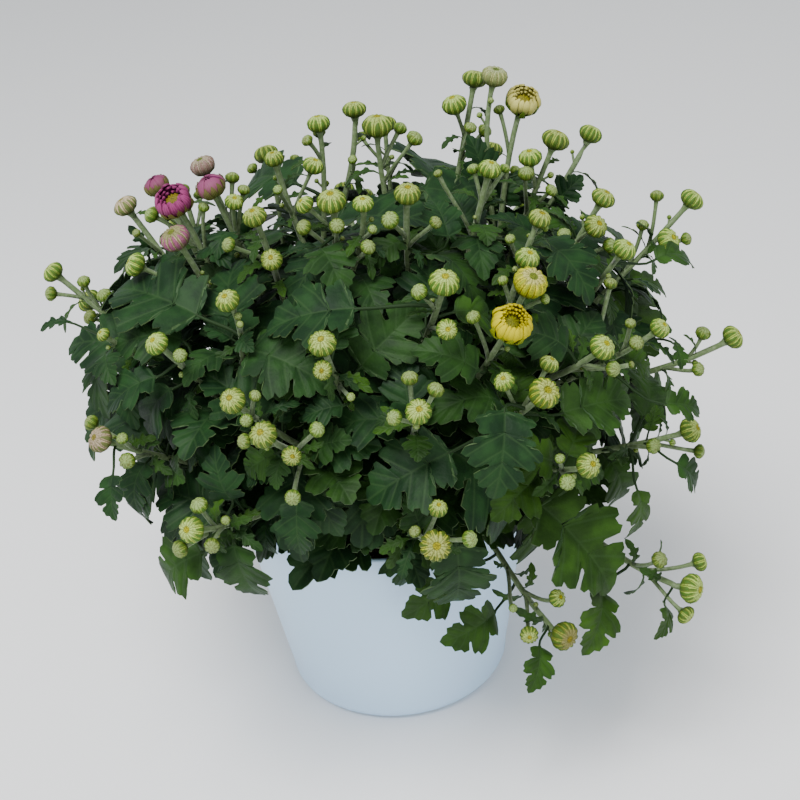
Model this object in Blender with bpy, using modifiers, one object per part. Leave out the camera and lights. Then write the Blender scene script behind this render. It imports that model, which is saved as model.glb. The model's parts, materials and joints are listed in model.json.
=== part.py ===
"""A pot chrysanthemum in bud: six rooted cuttings in a white plastic pot, each pinched to a stub
that carries leafy flowering stems. Metres, +Z up, the pot standing on z = 0 about the origin."""

import math
import random
from collections import namedtuple

import bmesh
import bpy
import numpy as np
from mathutils import Matrix, Vector
from mathutils.bvhtree import BVHTree

MM = 0.001
GAP = 0.0003

# The pot, a thin drawn shell that tapers to a rounded base
RIM_RADIUS = 0.070
BASE_RADIUS = 0.053
POT_HEIGHT = 0.106
CORNER_RADIUS = 0.0075
WALL = 0.0015
BEAD = 0.0024
PAD_RADIUS = 0.028
CHANNEL_RADIUS = 0.040
CHANNEL_DEPTH = 0.002
FLOOR = 0.0038
DRAIN_HOLES = 5
DRAIN_RADIUS = 0.004
POT_STEPS = 26

# The growing medium
SOIL_LEVEL = 0.097
SOIL_RELIEF = 0.0016

# The cuttings: one in the middle and five round it, cut off 36 mm above the soil
STUMP_BEARINGS = (212, 262, 312, 10, 112)
STUMP_RING = 0.031
STUMP_RADIUS = 0.0044
STUMP_SIDES = 8
STUMP_ABOVE = 0.036
STUMP_BELOW = 0.030

# The plant's crown, from which the sprays are measured
CROWN = Vector((0, 0, 0.110))
UPRIGHT_LEAN = 24
TIP_LIFT = 0.25
FOOT_RADIUS = 0.0017
TIP_RADIUS = 0.0011
STALK_RADIUS = 0.0009
SEAT = 0.36
SEAT_RADIUS = 0.2
SUNK = 0.1
SPURT = 0.003
STEM_POINTS = {True: 7, False: 4}
LOW_LEAN = 90
FORK_POINTS = 3
SMALLEST_BUD = 7.1

# Leaves
LEAF_THICKNESS = 0.0007
SEEN_SHOOT_LEAVES = (2,)
REAR_SHOOT_LEAVES = (2, 2, 1)
LEAF_TRIES = 44
BLADE_LENGTHS = ((0.038, 0.052), (0.026, 0.038))
PETIOLE = 0.32
SHORTEST_PETIOLE = 0.009
PETIOLE_WIDTH = 0.0016
PETIOLE_FOOT_WIDTH = 0.0009
LEAF_CLEAR = 0.0009
LOWEST_LEAF = 0.03
RIM_CLEAR = 0.006
CANOPY_CENTRE = Vector((0, 0.005, 0.158))
CANOPY_HALF_WIDTH = 0.142
CANOPY_HALF_DEPTH = 0.136
CANOPY_RISE = 0.108
CANOPY_DROP = 0.080
SEED = 11

# Each spray stands where its end bud does, seen from the crown: bearing from +X towards +Y and
# lean from upright in degrees, then reach and bud width in millimetres. Its side buds follow, each
# with the clock hour it lies at (seen from outside, 12 towards the top of the plant), how far out
# from the end bud, how far below it and how wide it is. A bloom is an end bud in colour.
Spray = namedtuple("Spray", "bearing lean reach width sides bloom", defaults=[None])
SPRAYS = {
    "leafy_stem_01": [
        Spray(200, 27, 172, 15, [(7, 12, 2, 7.5), (0.5, 7, 3, 5.5), (1, 10, 7, 5)], "magenta"),
        Spray(186, 28, 175, 10.5, [], "pink"),
    ],
    "leafy_stem_02": [
        Spray(206, 22, 171, 12, [(11.5, 11, 3, 6.5), (1, 12, 6, 5.5), (2, 9, 8, 8)], "rose"),
        Spray(192, 21, 174, 11, [], "blush"),
    ],
    "leafy_stem_03": [
        Spray(215, 31, 171, 12.5, [(7.5, 22, 6, 10.5)], "striped_pink"),
        Spray(181, 34, 174, 11, [(3, 12, 9, 4)]),
    ],
    "leafy_stem_04": [Spray(235, 24, 169, 10, [(7, 14, 5, 6.5), (4.5, 15, 11, 9)])],
    "leafy_stem_05": [
        Spray(177, 50, 177, 10, [(5, 8, 5, 7), (3, 7, 16, 11.5), (0.5, 7, 12, 6.5), (1, 11, 22, 7.5)]),
        Spray(213, 47, 170, 6, []),
    ],
    "leafy_stem_06": [
        Spray(227, 45, 168, 10, [(3, 9, 5, 6)]),
        Spray(239, 37, 167, 10, [(4.5, 9, 5, 3)]),
    ],
    "leafy_stem_07": [Spray(220, 60, 164, 11, [(9.5, 14, 3, 7), (2, 8, 4, 5), (3.5, 12, 7, 7)])],
    "leafy_stem_08": [
        Spray(238, 69, 152, 11, [(12, 9, 2, 7.5), (7, 10, 2, 7.5), (4, 9, 4, 6.5), (2, 12, 6, 4)])
    ],
    "leafy_stem_09": [
        Spray(251, 54, 161, 11, [(8.5, 7, 2, 6.5), (4, 12, 5, 8), (2.5, 19, 6, 6.5), (5, 24, 9, 6.5)]),
        Spray(245, 50, 163, 10.5, [(2, 8, 3, 5), (4.5, 8, 4, 5.5)]),
    ],
    "leafy_stem_10": [Spray(261, 42, 165, 11, [(6, 9, 4, 8), (5, 20, 10, 3.5)])],
    "leafy_stem_11": [Spray(277, 52, 161, 10.5, [(9, 9, 2, 6.5), (0, 15, 4, 7), (1.5, 12, 3, 7)])],
    "leafy_stem_12": [Spray(277, 71, 148, 13, [(0.5, 14, 3, 8), (10.5, 9, 3, 5), (3, 14, 4, 7)], "lemon")],
    "leafy_stem_13": [Spray(299, 54, 162, 13, [(10.5, 15, 4, 8.5), (1.5, 15, 4, 8.5)], "cream_green")],
    "leafy_stem_14": [Spray(298, 44, 165, 15.5, [(10.5, 14, 4, 6)], "yellow")],
    "leafy_stem_15": [Spray(288, 36, 167, 12, [(9.5, 8, 2, 7), (6.5, 16, 8, 8.5)])],
    "leafy_stem_16": [
        Spray(306, 40, 168, 14, [(10.5, 10, 3, 4.5), (5, 8, 4, 4.5)], "soft_yellow"),
        Spray(313, 36, 162, 10.5, []),
        Spray(321, 33, 170, 9.5, [(9.5, 13, 7, 4.5)]),
    ],
    "leafy_stem_17": [Spray(313, 52, 166, 11, [(6, 9, 2, 7), (4.5, 16, 4, 3)])],
    "leafy_stem_18": [Spray(328, 55, 168, 9, [(11, 11, 5, 5), (9.5, 9, 7, 6.5), (0.5, 27, 7, 6)])],
    "leafy_stem_19": [Spray(348, 67, 175, 11, [(12, 9, 9, 7.5), (9, 10, 18, 6.5)])],
    "leafy_stem_20": [Spray(330, 72, 157, 11, [(9.5, 12, 12, 7), (5.5, 12, 3, 6.5)])],
    "leafy_stem_21": [Spray(304, 66, 155, 10.5, [(10.5, 10, 5, 4.5), (8.5, 9, 5, 7)])],
    "leafy_stem_22": [Spray(319, 93, 163, 12.5, [(11.5, 15, 10, 7.5), (2.5, 15, 3, 8.5), (6.5, 12, 3, 8.5)])],
    "leafy_stem_23": [Spray(301, 99, 134, 13, [(9.5, 13, 7, 8), (0.5, 14, 7, 8), (10.5, 22, 12, 4)], "lime")],
    "leafy_stem_24": [
        Spray(170, 4, 171, 10, [(4.5, 7, 5, 5.5), (8.5, 8, 6, 6)]),
        Spray(75, 5, 172, 10.5, [(0, 10, 19, 4.5)]),
    ],
    "leafy_stem_25": [Spray(216, 13, 170, 8.5, [(10, 9, 4, 5.5), (1.5, 15, 6, 9), (4.5, 8, 10, 4.5)])],
    "leafy_stem_26": [Spray(327, 5, 171, 13, [(4, 11, 3, 6.5), (5.5, 16, 4, 7.5)])],
    "leafy_stem_27": [Spray(290, 21, 169, 11, [(8, 11, 6, 7.5), (5, 14, 7, 5.5)])],
    "leafy_stem_28": [
        Spray(261, 20, 168, 12, [(9, 9, 2, 8), (2, 7, 2, 7), (8, 13, 7, 7), (5.5, 8, 6, 6.5), (4.5, 20, 12, 6.5)]),
        Spray(273, 21, 168, 8.5, [(5.5, 9, 6, 4)]),
    ],
    "leafy_stem_29": [Spray(33, 22, 186, 11.5, [(12, 9, 12, 11.5), (10, 10, 20, 6), (8, 9, 21, 7)])],
    "leafy_stem_30": [
        Spray(20, 27, 183, 15, [(1, 9, 6, 5.5)], "cream"),
        Spray(22, 22, 190, 12, [], "pale_cream"),
    ],
    "leafy_stem_31": [
        Spray(7, 31, 175, 12.5, [(11.5, 9, 10, 10.5), (10.5, 16, 15, 7.5), (8.5, 11, 19, 6)]),
        Spray(16, 38, 183, 11, []),
    ],
    "leafy_stem_32": [Spray(326, 23, 171, 10, [(12, 7, 3, 5.5), (3.5, 10, 2, 5), (11, 20, 6, 4)])],
    "leafy_stem_33": [Spray(345, 38, 173, 10.5, [(8.5, 9, 9, 10.5), (10, 15, 17, 6.5), (7, 14, 14, 7.5)])],
    "leafy_stem_34": [
        Spray(1, 51, 190, 11, [(9, 9, 19, 11.5), (7.5, 10, 14, 6), (0.5, 13, 8, 6.5), (11.5, 12, 21, 6)]),
        Spray(334, 44, 171, 10.5, []),
    ],
}

# The leaves that show best: where each blade starts and where its tip is, seen from the crown, as
# bearing, lean and reach. The nearest stem carries it. The other leaves follow a rule.
Leaf = namedtuple("Leaf", "base tip form")
LEAVES = (
    Leaf((241, 41, 147), (261, 46, 143), 0),
    Leaf((268, 35, 153), (245, 38, 150), 2),
    Leaf((291, 47, 150), (273, 40, 152), 0),
    Leaf((283, 58, 137), (266, 64, 131), 2),
    Leaf((254, 63, 136), (254, 73, 132), 0),
    Leaf((236, 58, 66), (229, 80, 106), 0),
    Leaf((254, 60, 62), (248, 82, 102), 2),
    Leaf((270, 58, 62), (268, 85, 99), 3),
    Leaf((284, 60, 64), (285, 80, 101), 0),
    Leaf((298, 60, 66), (304, 80, 104), 2),
    Leaf((240, 73, 129), (242, 86, 117), 0),
    Leaf((242, 68, 137), (239, 59, 145), 1),
    Leaf((225, 49, 157), (219, 56, 163), 0),
    Leaf((225, 39, 153), (202, 42, 167), 2),
    Leaf((224, 43, 148), (214, 49, 162), 1),
    Leaf((293, 54, 153), (288, 66, 147), 0),
    Leaf((304, 74, 115), (312, 94, 136), 2),
    Leaf((311, 95, 130), (303, 103, 140), 0),
    Leaf((296, 104, 100), (280, 105, 106), 0),
    Leaf((288, 97, 82), (272, 104, 90), 1),
    Leaf((283, 75, 121), (283, 93, 106), 0),
    Leaf((296, 100, 127), (291, 105, 139), 0),
    Leaf((323, 79, 135), (320, 88, 131), 1),
    Leaf((307, 57, 141), (322, 61, 151), 2),
    Leaf((328, 34, 155), (324, 46, 155), 0),
    Leaf((254, 20, 156), (266, 30, 152), 1),
)

# Behind, where no picture was taken, the stems follow a rule
REAR_STEMS = 4
REAR_FIRST_BEARING = 52
REAR_STEP = 34
REAR_REACH = 166

BLOOM_COLOURS = {
    "magenta": (0.30, 0.02, 0.11),
    "pink": (0.42, 0.10, 0.20),
    "rose": (0.36, 0.06, 0.18),
    "blush": (0.44, 0.24, 0.22),
    "striped_pink": (0.46, 0.20, 0.24),
    "lemon": (0.60, 0.58, 0.20),
    "cream_green": (0.52, 0.58, 0.26),
    "yellow": (0.85, 0.70, 0.02),
    "soft_yellow": (0.68, 0.64, 0.08),
    "lime": (0.46, 0.56, 0.14),
    "cream": (0.62, 0.60, 0.34),
    "pale_cream": (0.60, 0.60, 0.40),
}


def clear_scene():
    for obj in list(bpy.data.objects):
        bpy.data.objects.remove(obj, do_unlink=True)


def make_collection(name):
    collection = bpy.data.collections.new(name)
    bpy.context.scene.collection.children.link(collection)
    return collection


def material(name, colour, roughness=0.7):
    made = bpy.data.materials.new(name)
    made.use_nodes = True
    shader = made.node_tree.nodes["Principled BSDF"]
    shader.inputs["Base Color"].default_value = (*colour, 1)
    shader.inputs["Roughness"].default_value = roughness
    shader.inputs["Metallic"].default_value = 0
    made.diffuse_color = (*colour, 1)
    return made


def add_mesh(name, points, faces, collection):
    """A new object from points and faces, its faces turned to point outwards."""
    mesh = bpy.data.meshes.new(name)
    mesh.from_pydata([tuple(point) for point in points], [], faces)
    shape = bmesh.new()
    shape.from_mesh(mesh)
    bmesh.ops.recalc_face_normals(shape, faces=shape.faces)
    shape.to_mesh(mesh)
    shape.free()
    obj = bpy.data.objects.new(name, mesh)
    collection.objects.link(obj)
    return obj


def baked(obj):
    """Turns an object's modifiers, or its curve, into a plain welded mesh."""
    evaluated = obj.evaluated_get(bpy.context.evaluated_depsgraph_get())
    mesh = bpy.data.meshes.new_from_object(evaluated)
    shape = bmesh.new()
    shape.from_mesh(mesh)
    bmesh.ops.remove_doubles(shape, verts=shape.verts, dist=1e-6)
    shape.to_mesh(mesh)
    shape.free()
    name = obj.name
    made = bpy.data.objects.new(name, mesh)
    made.matrix_world = obj.matrix_world
    collection = obj.users_collection[0]
    bpy.data.objects.remove(obj, do_unlink=True)
    collection.objects.link(made)
    made.name = name
    return made


def unit(vector):
    return vector.normalized()


def polar(bearing, lean, reach):
    """A point seen from the crown: bearing and lean in degrees, reach in millimetres."""
    b, a, r = math.radians(bearing), math.radians(lean), reach * MM
    return CROWN + Vector((r * math.sin(a) * math.cos(b), r * math.sin(a) * math.sin(b), r * math.cos(a)))


def spray_frame(spray):
    """The end bud's centre with the spray's axis, its 3 o'clock and its 12 o'clock."""
    centre = polar(spray.bearing, spray.lean, spray.reach)
    axis = unit(unit(centre - CROWN) + Vector((0, 0, TIP_LIFT)))
    across = unit(Vector((0, 0, 1)).cross(axis))
    return centre, axis, across, axis.cross(across)


def along(route, share):
    """The point and direction at a share of a route's length."""
    steps = [(b - a).length for a, b in zip(route, route[1:])]
    left = share * sum(steps)
    for a, b, step in zip(route, route[1:], steps):
        if left <= step:
            return a + (b - a) * (left / step), unit(b - a)
        left -= step
    return route[-1], unit(route[-1] - route[-2])


def bend(start, start_way, end, end_way, count, spring=0.33):
    """Points on the cubic that leaves start along start_way and reaches end along end_way."""
    length = (end - start).length
    first = start + start_way * (length * spring)
    second = end - end_way * (length * spring)
    points = []
    for step in range(count + 1):
        t = step / count
        points.append(
            start * (1 - t) ** 3 + first * (3 * t * (1 - t) ** 2) + second * (3 * t * t * (1 - t)) + end * t**3
        )
    return points


def loft(points, radii, sides, rib=0, foot_sides=None):
    """Rings of a swept form, closed at both ends. It comes to a point where the last radius is 0,
    its first two rings may have half as many sides, and a rib pulls every second corner in."""
    corners, faces, rings = [], [], []
    way = unit(points[1] - points[0])
    side = unit(way.orthogonal())
    for number, point in enumerate(points):
        before, after = points[max(number - 1, 0)], points[min(number + 1, len(points) - 1)]
        way = unit(after - before)
        side = unit(side - way * side.dot(way))
        other = way.cross(side)
        count = foot_sides if foot_sides and number < 2 else sides
        if radii[number] == 0:
            rings.append([len(corners)] * sides)
            corners.append(point)
            continue
        rings.append([len(corners) + corner for corner in range(count)])
        for corner in range(count):
            turn = 2 * math.pi * corner / count
            radius = radii[number] * (1 - (rib if number else 0) * (corner % 2))
            corners.append(point + side * (radius * math.cos(turn)) + other * (radius * math.sin(turn)))
    for low, high in zip(rings, rings[1:]):
        step = len(high) // len(low)
        for corner in range(len(high)):
            a, b = low[corner // step], low[(corner + 1) // step % len(low)]
            c, d = high[(corner + 1) % len(high)], high[corner]
            faces.append(tuple(dict.fromkeys((a, b, c, d))))
    faces.append(tuple(reversed(rings[0])))
    if radii[-1]:
        faces.append(tuple(rings[-1]))
    return corners, faces


class Room:
    """What is already taken, kept as triangle trees with their boxes."""

    def __init__(self):
        self.trees, self.lows, self.highs, self.owners = [], [], [], []

    def clear(self, corners, faces, friends=()):
        points = np.array([tuple(corner) for corner in corners])
        low, high = points.min(axis=0), points.max(axis=0)
        tree = None
        for number, owner in enumerate(self.owners):
            if owner in friends:
                continue
            if (self.lows[number] < high).all() and (self.highs[number] > low).all():
                tree = tree or BVHTree.FromPolygons(corners, faces)
                if tree.overlap(self.trees[number]):
                    return False
        return True

    def take(self, corners, faces, owner):
        points = np.array([tuple(corner) for corner in corners])
        self.trees.append(BVHTree.FromPolygons(corners, faces))
        self.lows.append(points.min(axis=0))
        self.highs.append(points.max(axis=0))
        self.owners.append(owner)


# The pot


def pot_profile():
    """The pot's half section from the rim down its outside, under its base and up its inside."""
    slope = math.atan2(RIM_RADIUS - BASE_RADIUS, POT_HEIGHT)
    outside = [(RIM_RADIUS - BEAD / 2, POT_HEIGHT), (RIM_RADIUS, POT_HEIGHT - BEAD / 2)]
    centre_x, centre_z = BASE_RADIUS - CORNER_RADIUS * 0.86, CORNER_RADIUS
    for step in range(4):
        turn = slope - step / 3 * (math.pi / 2 + slope)
        outside.append((centre_x + CORNER_RADIUS * math.cos(turn), centre_z + CORNER_RADIUS * math.sin(turn)))
    under = [
        (CHANNEL_RADIUS, 0),
        (CHANNEL_RADIUS - 0.001, CHANNEL_DEPTH),
        (PAD_RADIUS + 0.001, CHANNEL_DEPTH),
        (PAD_RADIUS, 0),
        (0, 0),
    ]
    inside = [
        (0, FLOOR),
        (BASE_RADIUS - CORNER_RADIUS, FLOOR),
        (BASE_RADIUS - WALL, CORNER_RADIUS + 0.002),
        (RIM_RADIUS - BEAD, POT_HEIGHT - BEAD),
        (RIM_RADIUS - BEAD, POT_HEIGHT - BEAD / 2),
    ]
    return outside + under + inside


def turned(name, profile, steps, collection):
    """Turns a half section, given from the top down its outside, into a closed solid."""
    mesh = bpy.data.meshes.new(name)
    points = [(radius, 0, height) for radius, height in profile]
    edges = [(i, (i + 1) % len(points)) for i in range(len(points))]
    if profile[0][0] == 0 or profile[-1][0] == 0:
        edges.pop()
    mesh.from_pydata(points, [edge for edge in edges if points[edge[0]][0] or points[edge[1]][0]], [])
    obj = bpy.data.objects.new(name, mesh)
    collection.objects.link(obj)
    screw = obj.modifiers.new("turn", "SCREW")
    screw.steps = screw.render_steps = steps
    screw.use_merge_vertices = True
    screw.merge_threshold = 0.00001
    obj = baked(obj)
    shape = bmesh.new()
    shape.from_mesh(obj.data)
    bmesh.ops.remove_doubles(shape, verts=shape.verts, dist=0.00001)
    bmesh.ops.recalc_face_normals(shape, faces=shape.faces)
    shape.to_mesh(obj.data)
    shape.free()
    return obj


def cut(obj, cutter):
    boolean = obj.modifiers.new("cut", "BOOLEAN")
    boolean.operation = "DIFFERENCE"
    boolean.object = cutter
    cutter.hide_render = True
    cutter.display_type = "WIRE"


def cylinder(name, radius, low, high, place, collection, sides=8):
    shape = bmesh.new()
    bmesh.ops.create_cone(
        shape, cap_ends=True, segments=sides, radius1=radius, radius2=radius, depth=high - low
    )
    bmesh.ops.rotate(shape, verts=shape.verts, matrix=Matrix.Rotation(math.pi / sides, 3, "Z"), cent=(0, 0, 0))
    bmesh.ops.translate(shape, verts=shape.verts, vec=(place[0], place[1], (low + high) / 2))
    mesh = bpy.data.meshes.new(name)
    shape.to_mesh(mesh)
    shape.free()
    obj = bpy.data.objects.new(name, mesh)
    collection.objects.link(obj)
    return obj


def make_pot(collection, cutters):
    pot = turned("pot", pot_profile(), POT_STEPS, collection)
    pot.data.materials.append(material("white_plastic", (0.82, 0.85, 0.90), 0.35))
    ring = (PAD_RADIUS + CHANNEL_RADIUS) / 2
    for number in range(DRAIN_HOLES):
        turn = 2 * math.pi * (number + 0.5) / DRAIN_HOLES
        place = (ring * math.cos(turn), ring * math.sin(turn))
        cut(pot, cylinder(f"drain_{number}", DRAIN_RADIUS, -0.001, FLOOR + 0.001, place, cutters, 6))
    pot.data.shade_smooth()
    pot.data.set_sharp_from_angle(angle=math.radians(30))
    return pot


# The growing medium and the cuttings


def inner_radius(height):
    """The pot's inside radius at a height above its corner."""
    low = CORNER_RADIUS + 0.002
    share = (height - low) / (POT_HEIGHT - BEAD - low)
    return (BASE_RADIUS - WALL) + share * (RIM_RADIUS - BEAD - BASE_RADIUS + WALL)


def stump_places():
    places = [Vector((0, 0, 0))]
    for bearing in STUMP_BEARINGS:
        turn = math.radians(bearing)
        places.append(Vector((STUMP_RING * math.cos(turn), STUMP_RING * math.sin(turn), 0)))
    return places


def make_soil(collection, cutters):
    low = FLOOR + GAP
    top = SOIL_LEVEL
    profile = [
        (0, top),
        (0.018, top),
        (0.040, top),
        (inner_radius(top) - 0.004, top),
        (inner_radius(top - 0.002) - GAP * 1.5, top - 0.003),
        (BASE_RADIUS - WALL - GAP * 1.5, CORNER_RADIUS + 0.002),
        (BASE_RADIUS - CORNER_RADIUS - GAP, low),
        (0, low),
    ]
    soil = turned("growing_medium", profile, POT_STEPS, collection)
    for vertex in soil.data.vertices:
        x, y, z = vertex.co
        if z > top - 0.0005:
            vertex.co.z += SOIL_RELIEF * math.sin(x * 210 + 1) * math.cos(y * 260 + x * 90)
    soil.data.materials.append(material("peat", (0.060, 0.030, 0.018), 0.95))
    for number, place in enumerate(stump_places()):
        hole = STUMP_RADIUS + GAP
        cut(soil, cylinder(f"hole_{number}", hole, SOIL_LEVEL - STUMP_BELOW - GAP, 0.12, place, cutters))
    return soil


def make_stumps(collection):
    bark = material("woody_stem", (0.20, 0.17, 0.09), 0.85)
    for number, place in enumerate(stump_places()):
        low, high = SOIL_LEVEL - STUMP_BELOW, SOIL_LEVEL + STUMP_ABOVE
        stump = cylinder(f"cutting_{number + 1}", STUMP_RADIUS, low, high, place, collection, STUMP_SIDES)
        for vertex in stump.data.vertices:
            if vertex.co.z > high - MM:
                vertex.co.z += 0.35 * (vertex.co.x - place.x)
        stump.data.materials.append(bark)


# Where every stem, bud and leaf goes


def rear_sprays():
    rng = random.Random(SEED)
    sprays = {}
    for number in range(REAR_STEMS):
        bearing = REAR_FIRST_BEARING + REAR_STEP * number
        shoots = []
        for turn, lean in ((-8, 80), (9, 58), (-4, 36)):
            sides = []
            for hour in (3, 9.5):
                out = rng.randint(10, 14)
                sides.append((hour + rng.uniform(-1, 1), out, 0.5 * out, rng.choice((6, 7.5))))
            reach = REAR_REACH + rng.randint(-6, 6) - 0.12 * max(lean - 50, 0)
            shoots.append(Spray(bearing + turn + rng.randint(-4, 4), lean, reach, rng.randint(10, 12), sides))
        sprays[f"leafy_stem_{len(SPRAYS) + number + 1}"] = shoots
    return sprays


def flat_cost(flat, height, wanted, used):
    """How far a flat of the cutting faces from the wanted way, and more where it is taken."""
    turn = 2 * math.pi * flat / STUMP_SIDES
    cost = abs((turn - wanted + math.pi) % (2 * math.pi) - math.pi)
    for other_flat, other_height in used:
        near = min((flat - other_flat) % STUMP_SIDES, (other_flat - flat) % STUMP_SIDES)
        if near < 2 and height - other_height < (0.0075, 0.0035)[near]:
            cost += 9
    return cost


def stem_feet(sprays):
    """Gives each stem a flat of its cutting to grow from, the ones that lean most lowest down."""
    places = stump_places()
    turns = (0,) + STUMP_BEARINGS
    homes = {number: [] for number in range(len(places))}
    for name, shoots in sprays.items():
        main = shoots[0]
        if main.lean < UPRIGHT_LEAN:
            homes[0].append((main.lean, name))
        else:
            apart = [abs((main.bearing - turn + 180) % 360 - 180) for turn in turns]
            homes[1 + apart[1:].index(min(apart[1:]))].append((main.lean, name))
    feet = {}
    apothem = STUMP_RADIUS * math.cos(math.pi / STUMP_SIDES)
    for number, stems in homes.items():
        stems.sort(reverse=True)
        step = (STUMP_ABOVE - 0.012) / max(len(stems) - 1, 1)
        used = []
        for order, (_, name) in enumerate(stems):
            height = SOIL_LEVEL + 0.006 + step * order
            goal = spray_frame(sprays[name][0])[0] - places[number]
            wanted = math.atan2(goal.y, goal.x)
            ranked = sorted(range(STUMP_SIDES), key=lambda flat: flat_cost(flat, height, wanted, used))
            flat = ranked[0]
            used.append((flat, height))
            turn = 2 * math.pi * flat / STUMP_SIDES
            out = Vector((math.cos(turn), math.sin(turn), 0))
            feet[name] = (places[number] + out * (apothem + GAP) + Vector((0, 0, height)), out)
    return feet


def plan_stems(sprays, room):
    """Routes every stem and every forked shoot clear of the others."""
    rng = random.Random(SEED)
    feet = stem_feet(sprays)
    routes = {}
    for name in sorted(sprays, key=lambda name: -sprays[name][0].lean):
        foot, out = feet[name]
        for number, spray in enumerate(sprays[name]):
            centre, axis, across, _ = spray_frame(spray)
            sunk = SEAT if spray.bloom else SUNK
            tip = centre - axis * (sunk * spray.width * MM + (GAP if spray.bloom else 0))
            best = None
            for attempt in range(40):
                loose = 0.0 if attempt == 0 else min(0.06 + 0.02 * attempt, 0.5)
                shake = Vector([rng.uniform(-loose, loose) for _ in range(3)])
                spring = 0.33 + rng.uniform(-0.4, 0.4) * loose
                if number == 0:
                    start = foot + out * SPURT
                    rise = unit(out * 0.55 + Vector((0, 0, 0.85)) + shake)
                    count = STEM_POINTS[spray.lean > LOW_LEAN]
                    points = [foot] + bend(start, rise, tip, unit(axis + shake * 0.4), count, spring)
                else:
                    share = 0.42 + 0.06 * number + rng.uniform(-0.3, 0.3) * loose
                    start, way = along(routes[name, 0], share)
                    points = bend(start, unit(way + unit(tip - start) + shake), tip, axis, FORK_POINTS, spring)
                radii = [TIP_RADIUS + GAP] * len(points)
                check = points if number == 0 else points[1:]
                body = loft(check, [FOOT_RADIUS + GAP] * 2 + radii[2 : len(check)], 5)
                friends = (name,) if number else ()
                if best is None:
                    best = points, body
                if room.clear(*body, friends):
                    best = points, body
                    break
            else:
                print("crossing stem", name, number)
            routes[name, number] = best[0]
            room.take(*best[1], name)
    return routes


def bud_axis(axis, out_way):
    return unit(axis * 0.75 + out_way * 0.5)


def plan_buds(sprays, routes, room):
    """Places the end buds and the side buds on their stalks."""
    rng = random.Random(SEED + 1)
    ends, stalks = [], []
    for name, shoots in sprays.items():
        for number, spray in enumerate(shoots):
            centre, axis, across, up = spray_frame(spray)
            ends.append((name, number, centre, axis, spray.width * MM))
            body = loft(
                [centre - axis * (0.4 * spray.width * MM), centre, centre + axis * (0.4 * spray.width * MM)],
                [0.3 * spray.width * MM, 0.53 * spray.width * MM, 0.3 * spray.width * MM],
                8,
            )
            if not room.clear(*body, (name,)):
                print("crossing end bud", name, number)
            room.take(*body, name)
    for name, shoots in sprays.items():
        for number, spray in enumerate(shoots):
            centre, axis, across, up = spray_frame(spray)
            route = routes[name, number]
            length = sum((b - a).length for a, b in zip(route, route[1:]))
            for order, (hour, out, drop, width) in enumerate(spray.sides):
                for attempt in range(24):
                    loose = 0 if attempt == 0 else 0.12 * attempt
                    turn = math.radians(30 * hour) + rng.uniform(-0.12, 0.12) * loose
                    way = across * math.sin(turn) + up * math.cos(turn)
                    reach = (out + rng.uniform(-1, 1) * loose) * MM
                    below = (drop + rng.uniform(-1, 1) * loose) * MM
                    bud = centre + way * reach - axis * below
                    size = width * MM
                    aim = bud_axis(axis, way)
                    fork = max(1 - (below + 0.8 * reach + 0.006 + 0.0017 * order) / length, 0.3)
                    start, stem_way = along(route, fork)
                    neck = bud - aim * (0.45 * size)
                    points = [start, neck] + [bud + aim * (share * size) for share in (-0.12, 0.18, 0.36)]
                    thin = STALK_RADIUS
                    radii = [thin * 0.62, thin * 1.1, 0.5 * size, 0.46 * size, 0]
                    ball = loft(points[1:], [radius + GAP * 1.5 for radius in radii[1:]], 6)
                    stick = loft([start.lerp(neck, 0.3), neck], [thin + GAP * 1.5] * 2, 5)
                    if room.clear(*ball) and room.clear(*stick, (name,)):
                        room.take(*ball, name)
                        room.take(*stick, name)
                        stalks.append((name, points, radii, width))
                        break
                else:
                    print("no room for a side bud", name, hour)
    return ends, stalks


# The leaf blade: half its outline from its base to its tip, as shares of its length

BLADE_HALF = (
    (0.00, 0.035),
    (0.17, 0.39),
    (0.33, 0.15),
    (0.42, 0.40),
    (0.62, 0.44),
    (0.62, 0.15),
    (0.84, 0.21),
)
BLADE_RIB = (0.28, 0.60)
BladeForm = namedtuple("BladeForm", "arch fold twist")
BLADE_FORMS = (
    BladeForm(0.55, 0.16, 0.10),
    BladeForm(0.85, 0.05, -0.25),
    BladeForm(0.35, 0.22, 0.25),
    BladeForm(1.15, 0.10, 0.00),
)
Placed = namedtuple("Placed", "stem foot base way up length form")


def blade_point(x, y, form):
    """Bends a flat blade point: the blade arches along its length, folds along its rib and twists."""
    turn = form.arch * x
    lift = form.fold * abs(y) + form.twist * x * y
    return Vector((x * math.cos(turn) + lift * math.sin(turn), y, lift * math.cos(turn) - x * math.sin(turn)))


def leaf_sheet(leaf):
    """A leaf's petiole and blade as one sheet of triangles."""
    form = BLADE_FORMS[leaf.form]
    side = leaf.up.cross(leaf.way)

    def at(x, y):
        point = blade_point(x, y, form) * leaf.length
        return leaf.base + leaf.way * point.x + side * point.y + leaf.up * point.z

    half = len(BLADE_HALF) + 1
    points = []
    petiole = unit(leaf.base - leaf.foot)
    across = unit(side - petiole * side.dot(petiole))
    for sign in (1, -1):
        points.append(leaf.foot + across * (sign * PETIOLE_FOOT_WIDTH / 2))
        points += [at(x, sign * y) for x, y in BLADE_HALF]
    points.append(at(1, 0))
    points += [at(x, 0) for x in BLADE_RIB]
    tip, low, high = 2 * half, 2 * half + 1, 2 * half + 2
    faces = [(0, half, half + 1), (0, half + 1, 1), (1, half + 1, low)]
    wing = ((1, low, 2), (2, low, 3), (3, low, high), (3, high, 6), (3, 6, 4), (4, 6, 5), (6, high, tip), (6, tip, 7))
    for base in (0, half):
        for corners in wing:
            face = tuple(corner + base if corner < half else corner for corner in corners)
            faces.append(face if base else tuple(reversed(face)))
    return points, faces


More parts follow.
